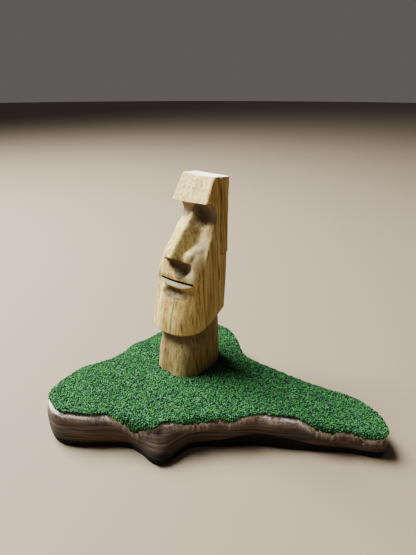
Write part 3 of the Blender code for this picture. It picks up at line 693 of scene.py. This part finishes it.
def island_grid(columns, undercut_rows, wall_shares, turns, inner_shares):
    """Rows of the slab from its footprint over the lip, wall and shoulder to the seat.

    Also each row's place (0 lip, 1 shoulder edge, 2 top, more on the top), where the turf ends
    and the plan directions of the columns from the figure's spot.
    """
    plan = plan_loop(columns)
    shoulder = plan[:, :2]
    share = shoulder[:, 0] / (ISLAND_LENGTH / 2.0)
    front = np.clip(-shoulder[:, 1] / (ISLAND_DEPTH / 4.0), 0.0, 1.0)
    lobe = np.exp(-((share - LOBE_AT) / LOBE_SPREAD) ** 2) * front
    arch = np.exp(-((share - ARCH_AT) / ARCH_SPREAD) ** 2) * front
    crown = slab_crown(share)

    normal = outward(shoulder, 3)
    lip = shoulder + normal * (LIP_REACH + LOBE_REACH * lobe)[:, None]
    lip_height = LIP_HEIGHT + ARCH_RISE * arch
    foot = lip - outward(lip, 6) * UNDERCUT
    edge_height = crown - SHOULDER_DROP
    top = shoulder - outward(shoulder, 5) * SHOULDER_INSET
    away = top - figure_spot()
    directions = away / np.hypot(away[:, 0], away[:, 1])[:, None]
    seat = foot_loop(directions, SEAT_MARGIN)

    rows = []
    places = []

    def add(plan_points, height, place):
        rows.append(np.column_stack([plan_points, np.broadcast_to(height, (columns,))]))
        places.append(place)

    for t in np.linspace(0.0, 1.0, undercut_rows, endpoint=False):
        add(foot + (lip - foot) * t, lip_height * t, t - 1.0)
    for share_up in wall_shares:
        swell = WALL_SWELL * math.sin(math.pi * share_up)
        add(lip + (shoulder - lip) * share_up ** 1.2 + normal * swell,
            lip_height + (edge_height - lip_height) * share_up, share_up)
    for t in turns:
        inward = 1.0 - math.cos(t * math.pi / 2.0)
        add(shoulder + (top - shoulder) * inward,
            edge_height + (crown - edge_height) * math.sin(t * math.pi / 2.0), 1.0 + t)
    for share_in in inner_shares:
        t = share_in ** RING_SPACING
        place = top + (seat - top) * t
        left = np.hypot(*(seat - place).T)
        level = slab_crown(place[:, 0] / (ISLAND_LENGTH / 2.0))
        mound = t * np.exp(-(left / MOUND_REACH) ** 2)
        dome = DOME_RISE * math.sin(math.pi * t)
        add(place, level + (SEAT_HEIGHT - level) * mound + dome * (1.0 - mound), 2.0 + share_in)
    return np.array(rows), np.array(places), plan[:, 2], directions


def home_offset():
    """From the slab's own plan centre to the frame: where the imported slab's box is."""
    grid = island_grid(PART_COLUMNS, 1, (0.0,) + WALL_SHARES, (0.0, 1.0), ())[0].reshape(-1, 3)
    low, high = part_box('island_slab')
    middle = 0.5 * (grid.min(0) + grid.max(0))
    return ((low.x + high.x) / 2.0 - middle[0] * MM, (low.y + high.y) / 2.0 - middle[1] * MM)


def turf_ends(ends):
    """Where the turf ends on the wall: the part's line, its scallops in front, and small waves."""
    share = np.arange(len(ends)) / len(ends)
    front = rise(share, TURF_SCALLOPS[0][0] - 0.02, TURF_SCALLOPS[0][0])
    ends = ends + (straight(share, TURF_SCALLOPS) - ends) * front
    turns = share * 2.0 * math.pi
    waves = np.sin(turns * 31.0) + np.sin(turns * 47.0 + 1.3) + np.sin(turns * 19.0 + 0.4)
    fine = np.sin(turns * 113.0 + 0.7) + np.sin(turns * 171.0 + 2.1)
    ragged = TURF_RAGGED * (waves * (1.0 - front) + 0.6 * fine)
    return np.clip(ends + ragged, WALL_SHARES[0], TURF_HIGHEST_END)


def on_slab(grid, normals, places, position):
    """Points and normals of the slab's surface at one place number a column."""
    i = np.clip(np.searchsorted(places, position) - 1, 0, len(places) - 2)
    column = np.arange(len(position))
    t = ((position - places[i]) / (places[i + 1] - places[i]))[:, None]
    spot = grid[i, column] * (1.0 - t) + grid[i + 1, column] * t
    facing = normals[i, column] * (1.0 - t) + normals[i + 1, column] * t
    return spot, facing / np.linalg.norm(facing, axis=1)[:, None]


def turf_skin():
    """The turf's outer surface, a little under the crumbs' tops, as rows of points and normals."""
    inner_shares = np.linspace(0.0, 1.0, 31)[1:]
    grid, places, ends, directions = island_grid(
        SKIN_COLUMNS, 1, np.linspace(0.0, 1.0, 15)[:-1], np.linspace(0.0, 1.0, 6), inner_shares)
    normals = grid_normals(grid)
    ends = turf_ends(ends)
    rows = []
    for t in np.linspace(0.0, 1.0, 16):
        spot, facing = on_slab(grid, normals, places, ends + (2.0 - ends) * t)
        rows.append((spot, facing, 1.0 if t > 0.1 else TURF_EDGE_THICKNESS / TURF_THICKNESS))
    for row in range(len(grid) - len(inner_shares), len(grid) - 1):
        rows.append((grid[row], normals[row], 1.0))
    level = np.zeros((SKIN_COLUMNS, 3))
    level[:, 2] = 1.0
    for grow in (SEAT_MARGIN, CLEARANCE):
        hole = np.column_stack([foot_loop(directions, grow), np.full(SKIN_COLUMNS, SEAT_HEIGHT)])
        rows.append((hole, level, 1.0))
    return rows


def build_turf(home):
    """The dark skin under the crumbs, and the crumbs themselves."""
    rows = turf_skin()
    under = [spot + facing * CLEARANCE for spot, facing, _ in rows]
    over = []
    for spot, facing, share in rows:
        over.append(spot + facing * (CLEARANCE + (TURF_THICKNESS - SKIN_BELOW) * share))
    over = np.array(over)
    facing = np.array([row[1] for row in rows])
    over = over + facing * (noise(over, 1.1, 11) * SKIN_BUMPS)[:, :, None]
    skin = loft('turf_skin', np.concatenate([np.array(under), over[::-1]]), False)
    skin.location = home
    skin.data.materials.append(turf_skin_material())
    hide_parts('turf_cover')
    edge = rows[0][0] + rows[0][1] * CLEARANCE
    scatter_crumbs(np.concatenate([edge[None], over]), np.concatenate([facing[:1], facing]), home)
    return skin


def spread_points(over, facing, spacing, seed):
    """Points over the grid at least a spacing apart, with their normals."""
    rng = np.random.default_rng(seed)
    corner = [over[:-1], np.roll(over, -1, 1)[:-1], np.roll(over, -1, 1)[1:], over[1:]]
    area = np.linalg.norm(np.cross(corner[2] - corner[0], corner[3] - corner[1]), axis=2).ravel() / 2
    tries = int(area.sum() / spacing ** 2 * 4.0)
    cell = rng.choice(len(area), tries, p=area / area.sum())
    s = rng.random(tries)[:, None]
    t = rng.random(tries)[:, None]
    flat = [c.reshape(-1, 3)[cell] for c in corner]
    spot = (flat[0] * (1 - s) + flat[1] * s) * (1 - t) + (flat[3] * (1 - s) + flat[2] * s) * t
    normal = facing[:-1].reshape(-1, 3)[cell]
    kept = []
    taken = {}
    for i, key in enumerate(map(tuple, np.floor(spot / spacing).astype(int).tolist())):
        near = []
        for dx in (-1, 0, 1):
            for dy in (-1, 0, 1):
                for dz in (-1, 0, 1):
                    near.extend(taken.get((key[0] + dx, key[1] + dy, key[2] + dz), ()))
        if near:
            gap = spot[near] - spot[i]
            if np.min(np.einsum('ij,ij->i', gap, gap)) < spacing * spacing:
                continue
        taken.setdefault(key, []).append(i)
        kept.append(i)
    return spot[kept], normal[kept]


def crumb_ball():
    """The corners of a twenty-sided ball of radius 1, and its sides seen from outside."""
    golden = (1.0 + 5.0 ** 0.5) / 2.0
    ball = []
    for a in (-1.0, 1.0):
        for b in (-golden, golden):
            ball.extend([(0.0, a, b), (a, b, 0.0), (b, 0.0, a)])
    ball = np.array(ball) / math.hypot(1.0, golden)
    edge = 2.0 / math.hypot(1.0, golden)
    sides = []
    for i, j, k in itertools.combinations(range(12), 3):
        gaps = [np.linalg.norm(ball[p] - ball[q]) for p, q in ((i, j), (j, k), (i, k))]
        if max(gaps) < edge * 1.05:
            facing_out = np.dot(np.cross(ball[j] - ball[i], ball[k] - ball[i]), ball[i]) > 0.0
            sides.append((i, j, k) if facing_out else (i, k, j))
    return ball, np.array(sides)


def random_turns(rng, count):
    """Rotation matrices for so many freely turned lumps."""
    spin = rng.normal(size=(count, 4))
    spin /= np.linalg.norm(spin, axis=1)[:, None]
    w, x, y, z = spin.T
    return np.stack([
        1 - 2 * (y * y + z * z), 2 * (x * y - w * z), 2 * (x * z + w * y),
        2 * (x * y + w * z), 1 - 2 * (x * x + z * z), 2 * (y * z - w * x),
        2 * (x * z - w * y), 2 * (y * z + w * x), 1 - 2 * (x * x + y * y),
    ], axis=1).reshape(-1, 3, 3)


def crumb_tints(rng, spot):
    """A green for each crumb, lighter and darker in patches over the turf."""
    kind = rng.random(len(spot))
    shade = rng.uniform(0.65, 1.42, len(spot))
    patch = noise(spot, 9.0, 21) * 0.10
    green = np.searchsorted([limit for limit, _ in CRUMB_GREENS[:-1]], kind)
    tint = np.array([colour for _, colour in CRUMB_GREENS])[green]
    return tint * np.array(CRUMB_DYE) * (shade + patch)[:, None]


def scatter_crumbs(over, facing, home):
    """Grains of coloured foam, each a dented twenty-sided lump, in a few pieces."""
    rng = np.random.default_rng(5)
    spot, normal = spread_points(over, facing, CRUMB_SPACING, 3)
    count = len(spot)
    ball, sides = crumb_ball()
    corners = len(ball)

    lift = rng.uniform(-0.05, 0.38, count)
    centre = spot + normal * lift[:, None]
    size = CRUMB_RADIUS * rng.uniform(0.72, 1.25, count)
    stretch = rng.uniform(0.7, 1.3, (count, 1, 3))
    dent = rng.uniform(0.75, 1.2, (count, corners, 1))
    turn = random_turns(rng, count)
    points = np.einsum('nij,nkj->nki', turn, ball[None] * stretch * dent) * size[:, None, None]
    points = points + centre[:, None, :]
    tint = crumb_tints(rng, spot)

    material = crumb_material()
    order = np.argsort(spot[:, 0] + 0.001 * spot[:, 1])
    for n, part in enumerate(np.array_split(order, CRUMB_PIECES)):
        name = f'turf_crumbs_{n + 1}'
        mesh = bpy.data.meshes.new(name)
        vertices = points[part].reshape(-1, 3) * MM
        faces = (sides[None] + corners * np.arange(len(part))[:, None, None]).reshape(-1, 3)
        mesh.from_pydata(vertices.tolist(), [], faces.tolist())
        mesh.shade_smooth()
        crumbs = put_in_scene(name, mesh)
        crumbs.location = home
        paint(crumbs, 'tint', np.repeat(tint[part], corners, axis=0))
        mesh.materials.append(material)
        finish_piece(crumbs)


def finish_piece(obj):
    """Every piece rides on the one body."""
    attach(obj, 'root')


def new_material(name, roughness, sheen=0.5):
    """A node material, and functions that plug into its shader and add further nodes."""
    material = bpy.data.materials.new(name)
    material.use_nodes = True
    tree = material.node_tree

    def fill(node, inputs):
        for key, value in inputs.items():
            if isinstance(value, bpy.types.NodeSocket):
                tree.links.new(value, node.inputs[key])
            else:
                node.inputs[key].default_value = value

    def add(kind, settings=None, inputs=None):
        node = tree.nodes.new(kind)
        for key, value in (settings or {}).items():
            setattr(node, key, value)
        fill(node, inputs or {})
        return node

    def plug(socket_name, value):
        fill(tree.nodes['Principled BSDF'], {socket_name: value})

    plug('Roughness', roughness)
    plug('Specular IOR Level', sheen)
    plug('Metallic', 0.0)
    return material, plug, add


def scaled(add, scale):
    """The object's own coordinates in millimetres, stretched by a scale."""
    place = add('ShaderNodeTexCoord')
    return add('ShaderNodeMapping', inputs={
        'Vector': place.outputs['Object'],
        'Scale': tuple(s / MM for s in scale),
    }).outputs['Vector']


def ramp(add, factor, stops):
    """A colour ramp through (place, colour) stops."""
    node = add('ShaderNodeValToRGB', inputs={'Fac': factor})
    elements = node.color_ramp.elements
    while len(elements) < len(stops):
        elements.new(0.5)
    for element, (place, colour) in zip(elements, stops):
        element.position = place
        element.color = (*colour, 1.0)
    return node.outputs['Color']


def mixed(add, kind, factor, a, b):
    """Two colours mixed, multiplied or otherwise combined."""
    a, b = [(*colour, 1.0) if isinstance(colour, tuple) else colour for colour in (a, b)]
    node = add('ShaderNodeMix', {'data_type': 'RGBA', 'blend_type': kind}, {0: factor, 6: a, 7: b})
    return node.outputs[2]


def grain(add, scale, detail, distortion=0.0):
    """Noise over stretched coordinates: streaks, fibres and patches."""
    return add('ShaderNodeTexNoise', inputs={
        'Vector': scaled(add, scale), 'Scale': 1.0, 'Detail': detail,
        'Roughness': 0.55, 'Distortion': distortion,
    }).outputs['Fac']


def split_attribute(add, name):
    """The red, green and blue of a mesh's colour attribute."""
    layer = add('ShaderNodeAttribute', {'attribute_name': name})
    return add('ShaderNodeSeparateColor', inputs={'Color': layer.outputs['Color']})


def relief(add, plug, height, distance):
    """Fine bumps over the surface, from a height and how deep it reaches in metres."""
    bump = add('ShaderNodeBump', inputs={'Height': height, 'Strength': 1.0, 'Distance': distance})
    plug('Normal', bump.outputs['Normal'])


def carved_wood_material():
    """Yellow-brown straight-grained wood: streaks and fibres, painted shade in the cuts, painted
    highlights.
    """
    material, plug, add = new_material('carved pale wood', 0.6, 0.15)
    bands = grain(add, (0.16, 0.16, 0.004), 2.0)
    base = ramp(add, bands, [
        (0.30, (0.40, 0.242, 0.064)), (0.46, (0.56, 0.405, 0.140)),
        (0.58, (0.63, 0.488, 0.185)), (0.74, (0.50, 0.331, 0.102))])
    streaks = grain(add, (1.1, 1.1, 0.012), 3.0)
    base = mixed(add, 'MULTIPLY', 1.0, base, ramp(add, streaks, [
        (0.30, (0.38, 0.28, 0.18)), (0.42, (0.78, 0.71, 0.60)), (0.55, (1.04, 1.04, 1.04))]))
    fibres = grain(add, (4.2, 4.2, 0.045), 3.0)
    base = mixed(add, 'MULTIPLY', 0.65, base, ramp(add, fibres, [
        (0.32, (0.62, 0.52, 0.42)), (0.54, (1.0, 1.0, 1.0))]))
    pores = grain(add, (9.0, 9.0, 0.9), 1.0)
    base = mixed(add, 'MULTIPLY', 0.5, base, ramp(add, pores, [
        (0.32, (0.42, 0.33, 0.26)), (0.42, (1.0, 1.0, 1.0))]))
    marks = split_attribute(add, 'marks')
    # Grey-brown stain and painted shade, painted highlight, then dark streaks and painted shade
    base = mixed(add, 'MIX', marks.outputs['Red'], base, STAIN_AND_SHADE_COLOUR)
    base = mixed(add, 'MIX', marks.outputs['Green'], base, HIGHLIGHT_COLOUR)
    base = mixed(add, 'MIX', marks.outputs['Blue'], base, DARK_AND_SHADE_COLOUR)
    plug('Base Color', base)
    rough = ramp(add, fibres, [(0.3, (0.75,) * 3), (0.7, (0.55,) * 3)])
    plug('Roughness', rough)
    relief(add, plug, fibres, 0.00010)
    return material


def walnut_material():
    """Dark walnut with bands along the board, dusty where torn, with painted shade darker on its
    foot and near black in the recess.
    """
    material, plug, add = new_material('walnut', 0.5, 0.25)
    bands = grain(add, (0.010, 0.022, 0.30), 3.0, 1.1)
    base = ramp(add, bands, [
        (0.28, (0.014, 0.008, 0.006)), (0.40, (0.038, 0.022, 0.015)),
        (0.48, (0.125, 0.077, 0.053)), (0.54, (0.026, 0.015, 0.010)),
        (0.62, (0.074, 0.043, 0.029)), (0.72, (0.012, 0.007, 0.005))])
    fibres = grain(add, (0.10, 0.5, 3.4), 3.0)
    base = mixed(add, 'MULTIPLY', 0.75, base, ramp(add, fibres, [
        (0.32, (0.45, 0.40, 0.38)), (0.56, (1.0, 1.0, 1.0))]))
    wear = split_attribute(add, 'wear')
    clumps = grain(add, (1.3, 1.3, 1.3), 3.0)
    dust = mixed(add, 'MULTIPLY', 1.0, DUST_COLOUR, ramp(add, clumps, [
        (0.35, (0.42, 0.36, 0.32)), (0.58, (1.0, 1.0, 1.0))]))
    base = mixed(add, 'MIX', wear.outputs['Red'], base, dust)
    # Painted shade on the foot and in the recess
    base = mixed(add, 'MIX', wear.outputs['Green'], base, RECESS_SHADE_COLOUR)
    plug('Base Color', base)
    rough = ramp(add, wear.outputs['Green'], [(0.0, (0.5,) * 3), (1.0, (1.0,) * 3)])
    plug('Roughness', rough)
    relief(add, plug, fibres, 0.00015)
    return material


def turf_skin_material():
    """Dark green felt under the crumbs."""
    material, plug, add = new_material('turf skin', 0.95)
    specks = grain(add, (1.6, 1.6, 1.6), 3.0)
    green = ramp(add, specks, [
        (0.32, (0.0042, 0.0210, 0.0092)), (0.52, (0.0210, 0.0882, 0.0273)),
        (0.70, (0.0462, 0.1428, 0.0378))])
    plug('Base Color', green)
    relief(add, plug, specks, 0.0004)
    return material


def crumb_material():
    """Dyed foam: each grain has its own green."""
    material, plug, add = new_material('turf crumbs', 0.92, 0.25)
    tint = add('ShaderNodeAttribute', {'attribute_name': 'tint'})
    pits = grain(add, (4.0, 4.0, 4.0), 2.0)
    green = mixed(add, 'MULTIPLY', 0.6, tint.outputs['Color'], ramp(add, pits, [
        (0.35, (0.45, 0.45, 0.45)), (0.6, (1.1, 1.1, 1.1))]))
    plug('Base Color', green)
    relief(add, plug, pits, 0.0002)
    return material


def cut_shade_and_stain(x, y, z, turned, side, front):
    """How far each cut's painted shade covers the figure, by the cut's name; in the sockets it is
    stain and shade.
    """
    # Real stain with painted shade in the eye sockets, under the brow
    brow = BROW_HEIGHT + BROW_SLOPE * x
    under_brow = fade(z, brow - 0.5, brow)
    ridge = fade(np.abs(side), 0.5, 3.0) * fade(z, 76.5, 79.5)
    socket = fade(eye_scoop(x, z, turned), 0.1, 1.1) * rise(z, 71.0, 75.5)
    socket = socket * under_brow * (1.0 - ridge)

    # Painted shade under the nose, narrowing downwards to a notch above the lip
    under = nose_underside(turned)
    notch = 0.8 + 1.02 * np.maximum(z - 50.6, 0.0)
    beneath = fade(z, under + 0.1, under + 0.9)
    beneath *= fade(np.abs(side - 3.0), notch, notch + 1.4)
    beneath *= rise(z, 50.2, 51.0) * rise(side, -6.5, -4.5) * front
    beneath *= fade(side, 8.2, 9.2)

    # Painted shade under the lower lip, just under the jaw, over the neck under the head and on the
    # nose's near side
    groove = fade(hollow(side, turned, z + 0.3, *CHIN_GROOVE), 0.0, 1.1)
    neck = fade(z, jaw_line(y) - 0.2, jaw_line(y) + 0.6)
    below_jaw = rise(z, 9.0, 21.0) * neck
    below_jaw *= fade(y, -2.0, 8.0) * (1.0 - 0.6 * rise(-x, 6.0, 10.0))
    nose_side = rise(side, 1.2, 2.4) * fade(side, 6.0, 7.5)
    nose_side *= rise(z, 62.0, 76.0) * under_brow * front
    return {'socket': socket, 'under_nose': beneath, 'under_lip': groove,
            'under_jaw': below_jaw, 'nose_side': nose_side, 'neck': neck}


def streak_darkness(across, z, wander, streaks):
    """How dark the listed streaks are, wandering a little as they run down the grain."""
    dark = np.zeros_like(z)
    for place, wide, low, high, depth in streaks:
        line = np.exp(-((across - place - wander) / wide) ** 2) * band(z, low, high, STREAK_FADE)
        dark = np.maximum(dark, line * depth)
    return dark


def ear_seam(z, turned):
    """Where painted shade darkens the line down the front of each ear and along under its step."""
    from_front = turned - profile(z, EAR_FRONT)
    upright = fade(np.abs(from_front + 0.25), 0.10, 0.42)
    upright *= rise(z, EAR_BOTTOM - 0.5, EAR_BOTTOM)
    level = fade(np.abs(z - EAR_BOTTOM + 0.3), 0.2, 0.7)
    return np.maximum(upright, level * (from_front > 0.0))


def figure_marks_and_painted_light(points):
    """For each point of the figure: grey-brown stain and painted shade, painted highlight, and dark
    streaks or painted shade.
    """
    x, y, z = points[..., 0], points[..., 1], points[..., 2]
    turned, side = face_place(x, y, z)
    front = turned < profile(z, CHEEK) + FRONT_DEPTH
    half = profile(z, HALF_WIDTH)
    flank = rise(np.abs(side), half - 0.9, half - 0.4)
    patchy = 0.92 + 0.12 * noise(points, (1.0, 1.0, 6.0), 31)
    cuts = cut_shade_and_stain(x, y, z, turned, side, front)
    # The cuts' grey-brown stain and painted shade, and the painted shade darkened over it
    stain_and_shade = np.maximum.reduce([cuts[cut] * share for cut, (share, _) in CUT_STAIN_AND_SHADE.items()])
    dark = np.maximum.reduce([cuts[cut] * share for cut, (_, share) in CUT_STAIN_AND_SHADE.items()])

    # Dark streaks down the grain and the check in the near side, and painted shade in the line along
    # each ear
    wander = STREAK_WANDER * noise(points, (9.0, 9.0, 7.0), 33)
    streaks = streak_darkness(side, z, wander, STREAKS) * front * (1.0 - flank)
    wander = STREAK_WANDER * noise(points, (9.0, 9.0, 7.0), 34)
    side_streaks = streak_darkness(turned, z, wander, SIDE_STREAKS) * flank
    knot = np.hypot((turned - KNOT[0]) / KNOT[2], (z - KNOT[1]) / KNOT[3])
    knot = fade(knot, 0.5, 1.0) * flank * (side > 0.0)
    seam = ear_seam(z, turned) * flank * EAR_SEAM_SHADE
    dark = np.maximum.reduce([dark, streaks, side_streaks, knot, seam])

    # Painted highlight: the lower lip, the cheek's near corner and the top
    lip_low = lip_low_edge(side)
    lip = rise(z, lip_low - 0.3, lip_low + 0.5) * front
    lip *= fade(z, LIP_LINE - 0.5, LIP_LINE)
    lip *= fade(np.abs(side - LIP_SHIFT) / LIP_HALF_WIDTH, 0.9, 1.02)
    corner = rise(side, 5.5, 7.5) * rise(z, 46.0, 54.0)
    corner *= fade(z, 66.0, 73.0) * front * (1.0 - flank)
    top = rise(z, tilted_top(y) - 0.5, tilted_top(y) - 0.1)
    pale = np.maximum.reduce([lip * LIP_HIGHLIGHT, corner * CHEEK_HIGHLIGHT, top * TOP_HIGHLIGHT])

    # Painted shade: the inside of the mouth slit black, over the dark streaks and the cuts' painted
    # shade
    slit = np.maximum(np.abs(z - LIP_LINE) - SLIT_HALF_HEIGHT - 0.05,
                      np.abs(side - MOUTH_SHIFT) - SLIT_HALF_WIDTH - 0.1)
    black = np.maximum(fade(slit, 0.0, 0.12) * front, dark * patchy)
    return np.clip(np.stack([stain_and_shade * patchy, pale, black], axis=-1), 0.0, 1.0)


def build_figure(home):
    """The carved figure with its tool marks, streaks, painted shade and painted highlights, turned
    on its seat.
    """
    angles = fan_angles()
    grid = sections(fine_levels(), angles)
    grid = np.concatenate([grid, top_edge(angles, TOP_ROUNDING, 0.0)[None],
                           top_edge(angles, 0.0, TOP_INSET)[None]])
    marks = figure_marks_and_painted_light(grid)
    tooling = 0.10 * noise(grid, (5.0, 5.0, 9.0), 1) + 0.05 * noise(grid, (2.2, 2.2, 5.0), 2)
    tooling[-2:] = 0.0
    tooling[0] = 0.0
    grid = grid + grid_normals(grid) * tooling[:, :, None]
    figure = loft('carved_moai', grid * UNIT, True, 40.0)
    paint(figure, 'marks', marks.reshape(-1, 3))
    figure.data.materials.append(carved_wood_material())
    spot = figure_spot() * MM
    figure.location = (home[0] + spot[0], home[1] + spot[1], (SEAT_HEIGHT + CLEARANCE) * MM)
    figure.rotation_euler = (0.0, 0.0, math.radians(FIGURE_TURN))
    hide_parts('moai_figure')
    finish_piece(figure)


def slab_wear_and_shade(grid, places, ends):
    """How torn and dusty the slab is under the turf's edge, and its painted shade: dark at the foot,
    black in the recess.
    """
    place = places[:, None]
    step = np.linalg.norm(np.diff(grid, axis=0), axis=2)
    run = np.concatenate([np.zeros((1, SLAB_COLUMNS)), np.cumsum(step, axis=0)])
    edge = np.array([np.interp(ends[j], places, run[:, j]) for j in range(SLAB_COLUMNS)])
    torn = np.exp(-(np.maximum(edge - run - TORN_TOP, 0.0) / TORN_BAND) ** 2)
    patches = noise(grid, (4.5, 4.5, 3.0), 41) + 0.5 * noise(grid, (0.9, 0.9, 0.9), 42)
    torn *= rise(patches, -0.9, 0.1)

    share = grid[:, :, 0] / (ISLAND_LENGTH / 2.0)
    front = grid[:, :, 1] < 0.0
    arch = np.exp(-((share - ARCH_AT) / ARCH_SPREAD) ** 2) * front
    lobe = np.exp(-((share - LOBE_AT) / (LOBE_SPREAD * FOOT_LOBE_SPREAD)) ** 2) * front
    behind = rise(grid[:, :, 1], -20.0, 0.0)
    torn *= (1.0 - TORN_LOST_AT_LOBE * lobe) * (1.0 - TORN_LOST_BEHIND * behind)
    # Painted shade: black in the recess under the lip, and darker up the foot, most at the lobe
    recess_shade = fade(place, 0.10 * arch, 0.04 + 0.14 * arch)
    foot = fade(place, 0.0, FOOT_SHADE_TOP)
    return torn, np.maximum(recess_shade, foot * (FOOT_SHADE + FOOT_SHADE_AT_LOBE * lobe))


def build_slab(home):
    """The walnut island with its carved wall, torn edge, and painted shade on its foot and in its
    recess.
    """
    grid, places, ends, _ = island_grid(
        SLAB_COLUMNS, 5, np.linspace(0.0, 1.0, SLAB_WALL_ROWS)[:-1], np.linspace(0.0, 1.0, 6),
        np.linspace(0.0, 1.0, 9)[1:])
    normals = grid_normals(grid)
    place = places[:, None]
    torn, recess_shade = slab_wear_and_shade(grid, places, turf_ends(ends))
    wall = rise(place, 0.0, 0.1) * fade(place, 1.6, 2.0)
    carved = 0.35 * noise(grid, (9.0, 9.0, 6.0), 43) + 0.12 * noise(grid, (7.0, 7.0, 1.2), 44)
    carved = carved + 0.12 * torn * noise(grid, (0.9, 0.9, 0.8), 45)
    grid = grid + normals * (carved * wall)[:, :, None]
    slab = loft('walnut_island', grid, True)
    slab.location = home
    # Red: dust where torn; green: painted shade on the foot and in the recess
    wear = np.stack([torn * wall, recess_shade, np.zeros_like(torn)], axis=-1)
    paint(slab, 'wear', wear.reshape(-1, 3))
    slab.data.materials.append(walnut_material())
    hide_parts('island_slab')
    finish_piece(slab)


def build_stage():
    """A pale floor and soft light from above and the left."""
    bpy.ops.mesh.primitive_circle_add(
        vertices=96, radius=FLOOR_RADIUS, fill_type='NGON', location=(0, 0, -FLOOR_DROP))
    floor = bpy.context.object
    floor.name = 'floor'
    material, plug, _ = new_material('pale floor', 0.8)
    plug('Base Color', (*FLOOR_COLOUR, 1.0))
    floor.data.materials.append(material)

    world = bpy.data.worlds.new('soft room')
    bpy.context.scene.world = world
    world.use_nodes = True
    background = world.node_tree.nodes['Background']
    background.inputs['Color'].default_value = (*ROOM_COLOUR, 1.0)
    background.inputs['Strength'].default_value = ROOM_STRENGTH

    for name, place, size, watts, colour in LIGHTS:
        light = bpy.data.lights.new(name, 'AREA')
        light.size = size
        light.energy = watts
        light.color = colour
        lamp = put_in_scene(name, light)
        lamp.location = place
        aim = np.array([0.0, 0.0, AIM_HEIGHT]) - np.array(place)
        down = math.atan2(math.hypot(aim[0], aim[1]), -aim[2])
        round_up = math.atan2(aim[1], aim[0]) - math.pi / 2.0
        lamp.rotation_euler = (down, 0.0, round_up)


def build_camera(home):
    """The photograph's own view, solved from the slab's outline."""
    data = bpy.data.cameras.new('photo_view')
    data.lens = CAMERA_LENS
    data.sensor_width = SENSOR
    data.clip_start = 0.01
    camera = put_in_scene('photo_view', data)
    camera.location = [a + b * MM for a, b in zip(home, CAMERA_PLACE)]
    camera.rotation_euler = (math.radians(CAMERA_PITCH), 0.0, 0.0)
    bpy.context.scene.camera = camera


HOME = (*home_offset(), 0.0)
build_figure(HOME)
build_slab(HOME)
finish_piece(build_turf(HOME))
build_stage()
build_camera(HOME)
